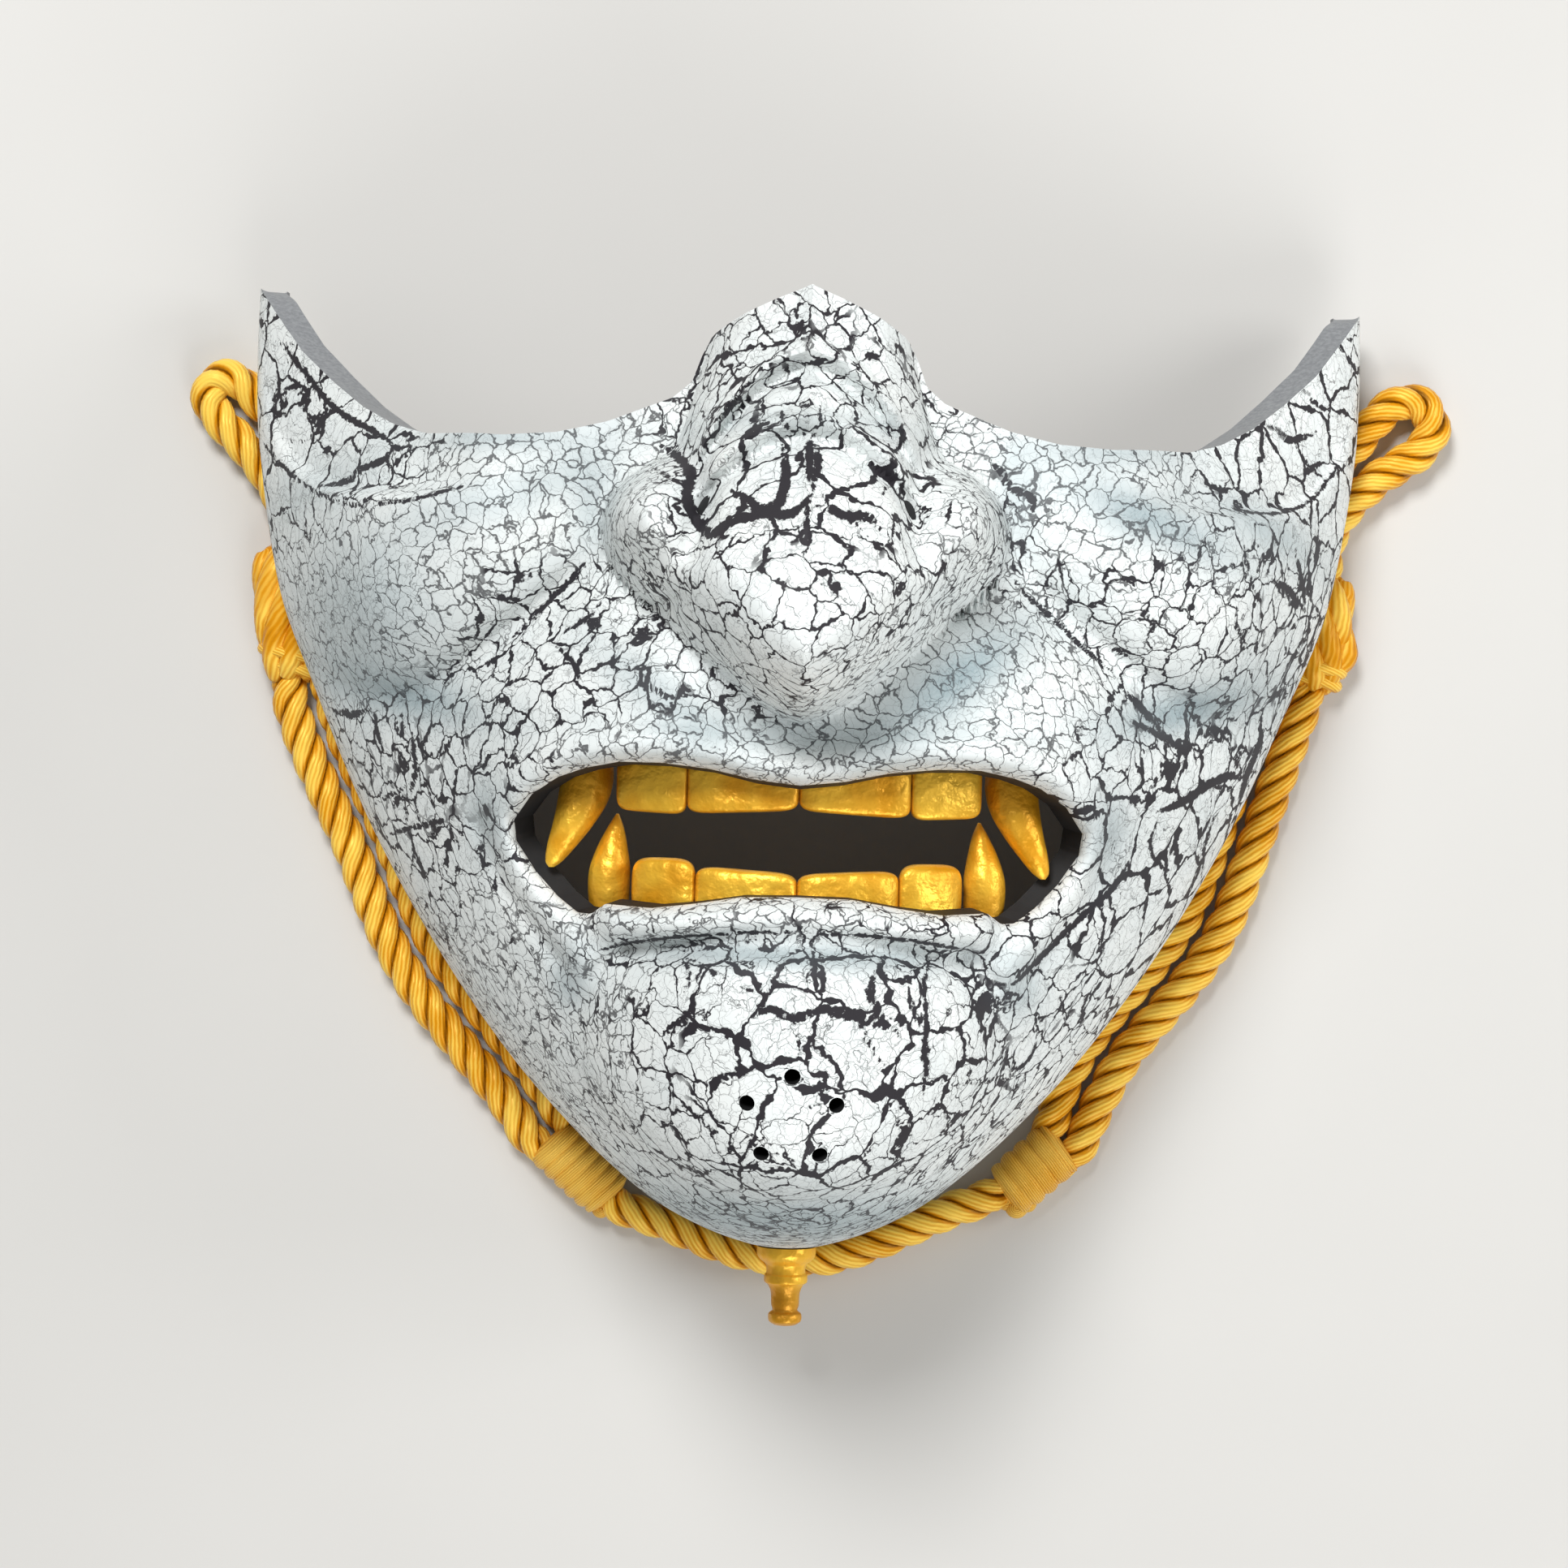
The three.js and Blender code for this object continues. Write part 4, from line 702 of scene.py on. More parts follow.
# Long open cracks, where the paint pulled apart along a crease or a raised edge.
openCracks = [  # half width, then x, y, x, y and so on along the crack
    # the first is partly a crack and partly the painted shadow along the crease beside the left nostril
    (0.4, -30.3, 33.4, -33.5, 29.9, -37, 26.4, -40.5, 22.8, -43.6, 20),
    (0.75, -21.9, 49.2, -19.1, 47.1, -16.7, 43.8, -17, 40.1, -15.4, 36.6, -13.3, 34.3, -10.9, 35.7, -7.2,
     37, -4.4, 38.2, -3.3, 40.7, -3.1, 44.3, -3.9, 47.5), (0.4, -22.6, 45.7, -19.1, 42.7, -16.1, 41.7),
    (0.6, 0.8, 49, 1.3, 44.4, 0.7, 40.2), (0.35, 0.7, 40.2, -0.1, 35.2, -0.2, 30.4),
    (0.6, 2.2, 39.8, 4.6, 37.4, 6.5, 36, 7.9, 34.6),
    (0.5, -83.1, 67.4, -78.4, 62.1, -74.4, 57.4, -69.9, 54.1, -65.5, 51.7, -62.2, 49.6),
    (0.6, -62.2, 49.6, -63.4, 47.3, -67.4, 46, -69.6, 44.3, -74.3, 43.7),
    (0.3, -86.3, 52.1, -81.9, 47.7, -77.6, 44.5, -73.5, 42, -67.7, 40.1, -61.3, 40.1, -55.9, 40.9, -50.2,
     42.4), (0.25, -86, 67, -83.1, 67.4, -80.7, 66.6), (0.25, -85.5, 62.9, -81.6, 64, -78.4, 62.6),
    (0.25, -84.3, 58.9, -80.8, 60.2, -76.5, 60.3), (0.25, -83.1, 55, -79.4, 56.8, -74.5, 58),
    (0.3, -82.2, 51.9, -77.8, 51.5, -74.2, 54.1), (0.55, -74.3, 10.1, -69.8, 9, -65.4, 10),
    (0.45, -65.4, 10, -64.7, 6.4, -63.5, 2.8), (0.35, -58.6, 6.4, -58, 2.3, -58.6, -0.3),
    (0.5, -26.6, 17.2, -24, 15.7, -21.5, 13.3, -18.5, 11.9, -16, 12.4),
    (0.45, -35, 21.2, -31.1, 23.7, -29.6, 25.8), (0.4, -36.5, 19.7, -33.1, 16.6, -31.4, 12.6),
    (0.45, -66.5, -4.9, -61.9, -3, -58.5, -1.2), (0.45, -64.9, -10, -58.1, -7.9, -51.6, -6.5),
    (0.4, -59.1, 4.9, -57.8, 0.5, -59.3, -4), (0.5, 2.1, -22.7, 2.5, -25.7, 1.5, -27.8),
    (0.65, -6.1, -33.2, -3.6, -32, 0.1, -33, 4.2, -31.8, 8.4, -32.3, 11.6, -33.9, 15.3, -34.9),
    (0.35, 0.1, -33, 0.7, -36.6, 1.8, -39.2), (0.35, 8.4, -32.3, 10.6, -36.5, 13.9, -40.7),
    (0.35, -5.1, -33.6, -6.2, -29.5, -11.5, -27.2, -15.9, -24.9),
    (0.35, -16, -24.4, -15.2, -27.9, -15.7, -31), (0.4, 11.4, -26.1, 10.4, -29.2, 12.1, -33.3),
    (0.4, 15.7, -27.2, 16.8, -31.3, 19.1, -36.6, 18.9, -44.2),
    (0.25, -29, -25.1, -24.7, -23.8, -16, -22.2, -5.4, -21.3, 5, -21.2, 15.6, -21.9, 26.1, -23.6),
    (0.7, -10.5, 40.5, -8.4, 39.4, -5.7, 37.2, -2.2, 37.2, 0.1, 39.4), (0.7, -0.5, 49.2, 0.1, 45.3, 0, 42),
    (0.35, 0.1, 39.4, -0.2, 35.6, -0.3, 29.9), (0.7, 1.6, 38.4, 4.8, 37.2, 8.4, 37.1, 10.5, 34.9),
    (0.45, 11.4, 48.5, 11.8, 44, 10.4, 40.6), (0.4, -4.2, 54.3, -3.4, 50.2, -0.5, 49.2),
    (0.35, 0.9, 55.4, 1.8, 49.9), (0.6, 25.9, 48.5, 28.1, 47, 29.7, 44.3, 32.9, 42.7, 33.2, 39.5),
    (0.3, 19.8, 55.4, 24.2, 53.3, 27.4, 52.4),
    (0.4, 30, 31.3, 33.4, 27.8, 37.4, 24.7, 41.3, 21.1, 45.9, 17.8),
    (0.75, 47.6, 15.1, 50.6, 12.6, 53.7, 9.6), (0.45, 53.7, 9.6, 55.6, 7.5, 60.7, 6.6),
    (0.7, 70.1, 32.8, 73.8, 31.6, 78, 28.8), (0.5, 74.8, 37.8, 76.3, 34.1, 78, 28.8),
    (0.35, 65.3, 38.3, 66, 34, 67.6, 30.3), (0.35, 64.4, 28.4, 64.7, 25.2, 67.9, 21.2),
    (0.6, 69.4, 57.1, 72, 56.5, 74.6, 55.1, 79.3, 56.9), (0.4, 72.1, 65.2, 76, 64, 79.3, 61.5, 83.5, 59.8),
    (0.4, 75.2, 54.6, 77.9, 51.5, 81.3, 49.6),
    (0.3, 84.2, 53.5, 80.5, 48.3, 76.2, 44.7, 70.6, 42.8, 63, 42.6),
    (0.35, 80.4, 75.6, 77.8, 71.1, 79.2, 67.8), (0.7, 71.4, 12.2, 71.9, 8.2, 70, 3.1, 69, -2.1),
    (0.7, 70.1, 2.6, 66.1, 2.9, 61.4, 0.8, 57, -1.7, 53.7, -2.8), (0.5, 47.7, 11, 52, 9.3, 55.3, 7.5),
    (0.35, 53.8, -4.2, 53, -8.2, 55.6, -11.2, 58.2, -12.2), (0.35, 64.3, -3.1, 63.2, -8.2, 63.8, -13.4),
    (0.5, 49.9, -9.7, 47.5, -14.1, 43.1, -18, 39.1, -21.9, 34.2, -26.6, 31.2, -29.4),
    (0.35, 39.6, -29.8, 41.2, -35), (0.4, 19.5, -24.6, 18.5, -29.1, 19.1, -33.8, 18.3, -39.4),
    (0.45, 10.9, -26.4, 12, -31.8, 14.9, -35.5), (0.6, 2.7, -31.9, 6.4, -32.6, 9.7, -33.7),
    (0.35, 21.9, -43.4, 25.8, -42.8, 32.2, -43), (0.35, 32.2, -43, 35.2, -40.8, 36.6, -37.8),
]


def openCrackDepth(x, y):
    # how far inside the nearest open crack a point lies, in millimetres; narrower towards each path's ends
    depth = np.full(x.shape, -9.0)
    for half, *places in openCracks:
        curve = smoothed(np.reshape(places, (-1, 2)), 4)
        ends = np.minimum(*(np.hypot(x - end[0], y - end[1]) for end in (curve[0], curve[-1])))
        depth = np.maximum(depth, half * (0.35 + 0.65 * step(ends / 4)) - distanceTo(curve, x, y))
    return depth


px, py = shellRings[..., 0].ravel(), shellRings[..., 1].ravel()
crackleMix = regionMix(px, py, crackleRegions)

crackle = {
    "pushes": [(0.11, 4.5), (0.45, 1.9), (1.5, 0.7)],  # noises that push the cells about: waves a mm, mm
    # flake size in mm, the flake shares where its cracks start, are full, narrow again and vanish,
    # half width in mm, what gaping adds to it, how dark
    "sizes": [
        (9.0, 0.62, 0.76, 9.0, 10.0, 0.24, 0.4, 1.0), (4.8, 0.36, 0.5, 0.76, 0.95, 0.12, 0.24, 1.0),
        (2.7, 0.1, 0.22, 0.46, 0.62, 0.09, 0.1, 0.85), (1.4, -1.0, -0.9, 0.12, 0.28, 0.07, 0.0, 0.66),
    ],
    "vanished": 0.12,  # share of its width that a size keeps where it has vanished
    "softEdge": 0.045,  # mm either side of a crack's edge
    "torn": 0.27,  # mm that the open cracks' edges wander either way
    "step": 0.00018,  # metres from a flake's face down to the ground
    "white": "#f2f5f3",
    "shadedWhite": "#dbe3e4",
    # grey of both the spray and the painted shade in the hollows, then the crack ground under it
    "sprayShade": "#93a4a9",
    "ground": "#242127",
    "sprayShadeGround": "#596064",
    "greyPast": 1.6,  # mm that the edge's grey runs on past the wings' tips
    "sharp": 38,  # degrees past which an edge of the shell stays sharp
}


def crackleMaterial():
    # two-coat crackle paint: a white acrylic top coat that shrank and split over a near-black ground, matt
    # with a slight sheen. Flakes stand about 0.2 mm over the cracks; cool grey lies in the hollows, partly
    # sprayed paint and partly painted shade.
    material, tree = newMaterial("white crackle paint")
    place = addNode(tree, "TexCoord", {}, 3)
    point = addNode(tree, "VectorMath", {0: place, "Scale": 1000.0}, operation="SCALE")
    flake = addNode(tree, "Attribute", {}, "Fac", attribute_name="flake")
    gape = addNode(tree, "Attribute", {}, "Fac", attribute_name="gape")
    sprayShade = addNode(tree, "Attribute", {}, "Fac", attribute_name="sprayShade")
    # the cell pattern is pushed about at three sizes, which gives flakes uneven, ragged edges
    pushed = point
    for scale, push in crackle["pushes"]:
        noise = addNode(tree, "TexNoise", {"Vector": point, "Scale": scale, "Detail": 1.0}, "Color")
        pushed = addNode(tree, "VectorMath", {0: noise, 1: (push,) * 3, 2: pushed}, operation="MULTIPLY_ADD")
    uneven = addNode(tree, "TexNoise", {"Vector": point, "Scale": 0.3, "Detail": 1.0})
    patchy = addNode(tree, "MapRange", {0: uneven, 1: 0.38, 2: 0.62, 3: 0.25, 4: 1.0})
    flakeMix = addNode(tree, "Math", {0: uneven, 1: 0.3, 2: flake}, operation="MULTIPLY_ADD")
    wideness = addNode(tree, "Math", {0: gape, 1: patchy}, operation="MULTIPLY")
    # cracks widen and thin along their length
    along = addNode(tree, "TexNoise", {"Vector": point, "Scale": 0.42, "Detail": 1.0})
    vigour = addNode(tree, "MapRange", {0: along, 1: 0.36, 2: 0.64, 3: 0.45, 4: 1.25})
    cracks = []
    edge = crackle["softEdge"]
    for size, start, full, narrow, gone, least, gaping, openness in crackle["sizes"]:
        cell = addNode(tree, "TexVoronoi", {"Vector": pushed, "Scale": 1 / size}, feature="DISTANCE_TO_EDGE")
        present = addNode(tree, "MapRange", {0: flakeMix, 1: start, 2: full})
        absent = addNode(tree, "MapRange", {0: flakeMix, 1: narrow, 2: gone, 3: 1.0, 4: crackle["vanished"]})
        width = addNode(tree, "Math", {0: wideness, 1: gaping, 2: least}, operation="MULTIPLY_ADD")
        shown = addNode(tree, "Math", {0: width, 1: absent}, operation="MULTIPLY")
        kept = addNode(tree, "Math", {0: present, 1: shown}, operation="MULTIPLY")
        half = addNode(tree, "Math", {0: kept, 1: vigour}, operation="MULTIPLY")
        # 1 inside a crack, falling to 0 across its soft edge; fine cracks don't open down to the dark ground
        inside = addNode(tree, "Math", {0: cell, 1: -float(size), 2: half}, operation="MULTIPLY_ADD")
        crack = addNode(tree, "MapRange", {0: inside, 1: -edge, 2: edge})
        dark = addNode(tree, "Math", {0: present, 1: openness}, operation="MULTIPLY")
        cracks.append(addNode(tree, "Math", {0: crack, 1: dark}, operation="MULTIPLY"))
    # the long open cracks, their edges torn by two noises
    torn = addNode(tree, "TexNoise", {"Vector": point, "Scale": 0.9, "Detail": 3.0, "Roughness": 0.62})
    tornOff = addNode(tree, "MapRange", {0: torn, 1: 0.3, 2: 0.7, 3: -crackle["torn"], 4: crackle["torn"]})
    opened = addNode(tree, "Attribute", {}, "Fac", attribute_name="opened")
    openDepth = addNode(tree, "Math", {0: opened, 1: tornOff}, operation="ADD")
    crackAll = addNode(tree, "MapRange", {0: openDepth, 1: -0.06, 2: 0.06})
    for crack in cracks:
        deepCracks = crackAll
        crackAll = addNode(tree, "Math", {0: crackAll, 1: crack}, operation="MAXIMUM")
    # colours: white flakes, slightly uneven; grey, partly spray and partly painted shade in the hollows; dark
    # ground, greyer where that grey lies over it
    cloud = addNode(tree, "TexNoise", {"Vector": point, "Scale": 0.12, "Detail": 3.0})
    white = addNode(tree, "Mix", {0: cloud, 6: linear(crackle["shadedWhite"]), 7: linear(crackle["white"])},
                    2, data_type="RGBA")
    grain = addNode(tree, "TexNoise", {"Vector": point, "Scale": 2.5, "Detail": 2.0})
    sprayed = addNode(tree, "MapRange", {0: grain, 1: 0.2, 2: 0.8, 3: 0.85, 4: 1.1})
    sprayShadeShare = addNode(tree, "Math", {0: sprayed, 1: sprayShade}, operation="MULTIPLY", use_clamp=True)
    flakeColour = addNode(tree, "Mix", {0: sprayShadeShare, 6: white, 7: linear(crackle["sprayShade"])},
                          2, data_type="RGBA")
    groundShare = addNode(tree, "Math", {0: sprayShadeShare, 1: 0.55}, operation="MULTIPLY")
    ground = addNode(tree, "Mix", {
        0: groundShare, 6: linear(crackle["ground"]), 7: linear(crackle["sprayShadeGround"])},
        2, data_type="RGBA")
    colour = addNode(tree, "Mix", {0: crackAll, 6: flakeColour, 7: ground}, 2, data_type="RGBA")
    # the finest cracks, the last of the list, are too shallow to show as relief
    relief = addNode(tree, "Math", {0: 1.0, 1: deepCracks}, operation="SUBTRACT")
    height = addNode(tree, "Math", {0: grain, 1: 0.12, 2: relief}, operation="MULTIPLY_ADD")
    bump = addNode(tree, "Bump", {"Strength": 0.7, "Distance": crackle["step"], "Height": height})
    rough = addNode(tree, "MapRange", {0: crackAll, 1: 0.0, 2: 1.0, 3: 0.46, 4: 0.62})
    shader = addNode(tree, "BsdfPrincipled", {
        "Base Color": colour, "Roughness": rough, "Specular IOR Level": 0.4, "Normal": bump})
    addNode(tree, "OutputMaterial", {"Surface": shader}, None)
    return material


def plainPaint(name, light, dark, roughness, scale, depth):
    # sprayed acrylic in one colour, with its slight orange peel
    material, tree = newMaterial(name)
    place = addNode(tree, "TexCoord", {}, 3)
    mottle = addNode(tree, "TexNoise", {"Vector": place, "Scale": scale, "Detail": 4.0})
    share = addNode(tree, "MapRange", {0: mottle, 1: 0.35, 2: 0.65})
    colour = addNode(tree, "Mix", {0: share, 6: linear(dark), 7: linear(light)}, 2, data_type="RGBA")
    bump = addNode(tree, "Bump", {"Strength": 0.4, "Distance": depth, "Height": mottle})
    shader = addNode(tree, "BsdfPrincipled", {"Base Color": colour, "Roughness": roughness, "Normal": bump})
    addNode(tree, "OutputMaterial", {"Surface": shader}, None)
    return material


cracklePaint = crackleMaterial()
edgePaint = plainPaint("sprayed grey edge paint", "#8c8f92", "#777a7e", 0.42, 1600.0, 0.0001)
insidePaint = plainPaint("sprayed black inside", "#141416", "#0d0d0f", 0.7, 500.0, 0.0001)

# Which paint each strip of the shell has: crackle in front, grey on the brow's edge, black inside.
rowFinish = np.zeros((lineCount, ringCount), int)
front = shell["outerRows"] - 1
rowFinish[:, front + 1 + shell["sideRows"]:] = 2
greyLine = along < browLength + crackle["greyPast"]
browLines = np.concatenate([greyLine, greyLine[1:-1][::-1]])
rowFinish[browLines, front:front + 1 + 2 * shell["sideRows"]] = 1
shellPoints, shellFaces = shellRings.reshape(-1, 3), gridFaces(lineCount, ringCount, True, True)
maskShell = addPiece(
    "maskShell", shellPoints, shellFaces.tolist(), [cracklePaint, edgePaint, insidePaint],
    ["mask_shell"],
    attributes={"flake": crackleMix[:, 0], "gape": crackleMix[:, 1], "sprayShade": sprayShadeAmount(px, py),
                "opened": openCrackDepth(px, py)},
    finish=rowFinish.ravel(), sharp=crackle["sharp"])


def cutRound(piece, low, high, radius, sides):
    # takes a round bar between two points out of a piece, with the inside's paint on the hole's wall
    axis = unit(high - low)
    across = unit(np.cross(axis, [0, 0, 1.0] if abs(axis[2]) < 0.9 else [1.0, 0, 0]))
    other = np.cross(axis, across)
    a = np.arange(sides) * 2 * np.pi / sides
    ring = radius * (np.cos(a)[:, None] * across + np.sin(a)[:, None] * other)
    points, faces = closedTube(np.stack([low + ring, high + ring]))
    mesh = bpy.data.meshes.new("cutter")
    mesh.from_pydata(((points + rowShift) * mm).tolist(), [], faces)
    for material in piece.data.materials:
        mesh.materials.append(material)
    mesh.polygons.foreach_set("material_index", np.full(len(faces), 2, np.int32))
    work = bmesh.new()
    work.from_mesh(mesh)
    bmesh.ops.recalc_face_normals(work, faces=work.faces)
    work.to_mesh(mesh)
    work.free()
    cutter = bpy.data.objects.new("cutter", mesh)
    bpy.context.scene.collection.objects.link(cutter)
    cut = piece.modifiers.new("hole", "BOOLEAN")
    cut.operation, cut.solver, cut.object = "DIFFERENCE", "EXACT", cutter
    return cutter


cutters = []
for hx, hy in form["chinHoles"]:
    centre = np.array([hx, hy, float(outerHeight(np.array(float(hx)), np.array(float(hy))))])
    out = outward(np.array(float(hx)), np.array(float(hy)))
    cutters.append(cutRound(maskShell, centre - 2.5 * form["wall"] * out, centre + form["wall"] * out,
                            form["chinHoleRadius"], 28))
seatY, seatZ, seatRadius = form["pegSeat"]
seat = np.array([0, seatY, seatZ])
cutters.append(cutRound(maskShell, seat - [0, 12, 0], seat, seatRadius, 48))
bpy.context.view_layer.update()
cutMesh = bpy.data.meshes.new_from_object(maskShell.evaluated_get(bpy.context.evaluated_depsgraph_get()))
maskShell.modifiers.clear()
maskShell.data = cutMesh
cutMesh.name = "maskShell"
for cutter in cutters:
    bpy.data.objects.remove(cutter)
cutMesh.set_sharp_from_angle(angle=math.radians(crackle["sharp"]))
print("shell cut:", len(cutMesh.polygons), "faces")


# Gilt teeth, fangs and peg.

giltPaint = {
    "thin": "#f0a81a",
    "thick": "#ffc93c",
    # painted shade in the grooves and behind the lips
    "groove": "#8a4c06",
    "metallic": 0.4,
    "roughness": (0.3, 0.44),
    "lumps": 0.0007,  # metres
}


def giltMaterial():
    # gold pearl paint over primer, brushed on: mica flakes give a metal-like lustre, with the brush's small
    # lumps; painted shade turns it browner in the grooves, where the teeth meet, behind the lips and at the
    # roots
    material, tree = newMaterial("brushed gold pearl paint")
    place = addNode(tree, "TexCoord", {}, 3)
    groove = addNode(tree, "Attribute", {}, "Fac", attribute_name="groove")
    lumps = addNode(tree, "TexNoise", {"Vector": place, "Scale": 420.0, "Detail": 3.0})
    broad = addNode(tree, "TexNoise", {"Vector": place, "Scale": 130.0, "Detail": 2.0})
    share = addNode(tree, "MapRange", {0: broad, 1: 0.35, 2: 0.65})
    gold = addNode(tree, "Mix", {0: share, 6: linear(giltPaint["thin"]), 7: linear(giltPaint["thick"])},
                   2, data_type="RGBA")
    # painted shade: brown where the groove attribute is high
    colour = addNode(tree, "Mix", {0: groove, 6: gold, 7: linear(giltPaint["groove"])}, 2, data_type="RGBA")
    height = addNode(tree, "Math", {0: broad, 1: 1.5, 2: lumps}, operation="MULTIPLY_ADD")
    bump = addNode(tree, "Bump", {"Strength": 0.65, "Distance": giltPaint["lumps"], "Height": height})
    smooth, dull = giltPaint["roughness"]
    rough = addNode(tree, "MapRange", {0: lumps, 1: 0.3, 2: 0.7, 3: smooth, 4: dull})
    shader = addNode(tree, "BsdfPrincipled", {
        "Base Color": colour, "Roughness": rough, "Metallic": giltPaint["metallic"], "Normal": bump})
    addNode(tree, "OutputMaterial", {"Surface": shader}, None)
    return material


gilt = giltMaterial()
teeth = {
    "depth": 6,
    # from, to, crown, tip at the inner end, tip at the outer end, roundness: 0.3 is boxy, 1 is a ball
    "upper": [(0, 16.3, 4.2, -3.9, -4.7, 0.3), (16.3, 26.7, 4.2, -4.9, -4.4, 0.34)],
    "lower": [(0, 14.8, -19.6, -13, -12.2, 0.36), (14.8, 24.2, -19.6, -11.2, -11.2, 0.5)],
    "upperGum": (4, 9, 37),  # near y, far y, reach
    "lowerGum": (-19.4, -24.5, 31.5),
    "gumDepth": 4,
}


def power(x, exponent):
    # the exponent's power of x, with its sign kept
    return np.sign(x) * np.abs(x) ** exponent


def toothShape(start, end, crown, tipIn, tipOut, round, side):
    # a rounded block bent to the wall, a superquadric: across it sin^e, and round its section cos^e and sin^e
    u = np.linspace(-np.pi / 2, np.pi / 2, 25)[:, None]
    v = np.linspace(0, 2 * np.pi, 41)[None, :]
    middle, half = (start + end) / 2, (end - start) / 2 + 0.05
    across = power(np.sin(u), round) * half + 0 * v
    x = middle + across
    tip = tipIn + (tipOut - tipIn) * (x - start) / (end - start)
    body = power(np.cos(u), round)
    y = (crown + tip) / 2 + (crown - tip) / 2 * body * power(np.cos(v), 0.75 * round)
    front = behindWall(x, np.full_like(x, float(crown)))
    z = front - teeth["depth"] / 2 + 0.1 + teeth["depth"] / 2 * body * power(np.sin(v), round)
    # painted shade towards each tooth's sides, where it meets the next
    groove = step((0.5 - (half - np.abs(across))) / 0.8) * 0.9
    rings = np.stack([side * x, y + 0 * z, z], -1)
    return rings.reshape(-1, 3), gridFaces(*rings.shape[:2]).tolist(), groove.ravel()


def gumShape(gum):
    # a bar behind the lip that carries the row
    nearY, farY, reach = gum
    x = np.linspace(-reach, reach, 41)[:, None]
    a = np.linspace(0, 2 * np.pi, 25)[None, :]
    y = (nearY + farY) / 2 + (farY - nearY) / 2 * power(np.cos(a), 0.4)
    x, y = np.broadcast_arrays(x, y)
    z = behindWall(x, y) - 0.3 - teeth["gumDepth"] / 2 * (1 - power(np.sin(a), 0.4))
    rings = np.stack([x, y, z], -1)
    points, faces = closedTube(rings[:, :-1])
    # painted shade over the whole gum behind the lip
    return points, faces, np.full(len(points), 0.8)


def toothRow(name, row, gum, replaced):
    # the row's teeth on both sides, on their gum, as one piece
    parts = [toothShape(*tooth, side) for tooth in row for side in (-1, 1)] + [gumShape(gum)]
    points, faces, groove = joined(parts)
    addPiece(name, points, faces, [gilt], [replaced], attributes={"groove": groove}, sharp=180)


toothRow("upperTeeth", teeth["upper"], teeth["upperGum"], "upper_teeth")
toothRow("lowerTeeth", teeth["lower"], teeth["lowerGum"], "lower_teeth")

fangs = {
    # x, y, half width, half depth, drop behind the wall
    "upper": [(31.2, 3.6, 3.6, 3.1, 3.6), (31.3, 0, 3.9, 3.3, 3.3), (31.9, -3.4, 3.7, 3.2, 2.8),
              (33.2, -6.8, 3, 2.7, 2.4),
              (34.7, -9.8, 2.2, 2, 2.2), (35.8, -12.1, 1.3, 1.2, 2.2), (36.2, -13.1, 0.4, 0.4, 2.2)],
    "lower": [(27.6, -19, 2.9, 2.9, 3), (27.7, -16, 3.1, 3, 2.8), (27.6, -13, 3, 2.8, 2.6),
              (27.3, -9.8, 2.2, 2.2, 2.6), (26.9, -7, 1.2, 1.3, 2.8), (26.7, -5, 0.2, 0.2, 3)],
}
fangSides = 32
for row, side, name in [("upper", -1, "upperFangLeft"), ("upper", 1, "upperFangRight"),
                        ("lower", -1, "lowerFangLeft"), ("lower", 1, "lowerFangRight")]:
    table = smoothed(fangs[row], 8)
    root = float(behindWall(table[0, 0], table[0, 1]))
    a = np.arange(fangSides)[None, :] * 2 * np.pi / fangSides
    x = table[:, :1] * side + table[:, 2:3] * np.cos(a)
    y = table[:, 1:2] + 0 * a
    z = root - table[:, 4:5] - 0.5 + table[:, 3:4] * np.sin(a)
    points, faces = closedTube(np.stack([x, y, z], -1))
    replaced = f"{row}_fang_" + ("left" if side < 0 else "right")
    # painted shade at the root behind the wall, fading out down the fang
    end = np.r_[np.repeat(np.linspace(0.7, 0, len(table)) ** 3, fangSides), 0.5, 0]
    addPiece(name, points, faces, [gilt], [replaced], attributes={"groove": end})

peg = {
    # distance from the seat, radius
    "profile": [(0, 4.65), (1.2, 4.65), (2, 4.2), (2.9, 3.2), (4.1, 3.1), (4.6, 3.4), (5.6, 3.4), (6.1, 2.8),
                (7.4, 2.3), (9.2, 2.2), (10.1, 2), (10.7, 2.6), (11.8, 2.55), (12.4, 1.7)],
    "sides": 48,
}
# a turned profile carried round its axis
profile = smoothed(peg["profile"], 6)
a = np.arange(peg["sides"])[None, :] * 2 * np.pi / peg["sides"]
x, z = profile[:, 1:] * np.cos(a), seatZ + profile[:, 1:] * np.sin(a)
y = seatY - form["gap"] - profile[:, :1] + 0 * a
turned, turnedFaces = closedTube(np.stack([x, y, z], -1))
# painted shade in the narrow grooves of the turned profile and at the seat
narrow = np.clip((3 - profile[:, 1]) / 1.5, 0, 0.35)
addPiece("chinPeg", turned, turnedFaces, [gilt], ["chin_peg"],
         attributes={"groove": np.r_[np.repeat(narrow, peg["sides"]), 0.4, 0]}, sharp=50)


# Whippings and knots.

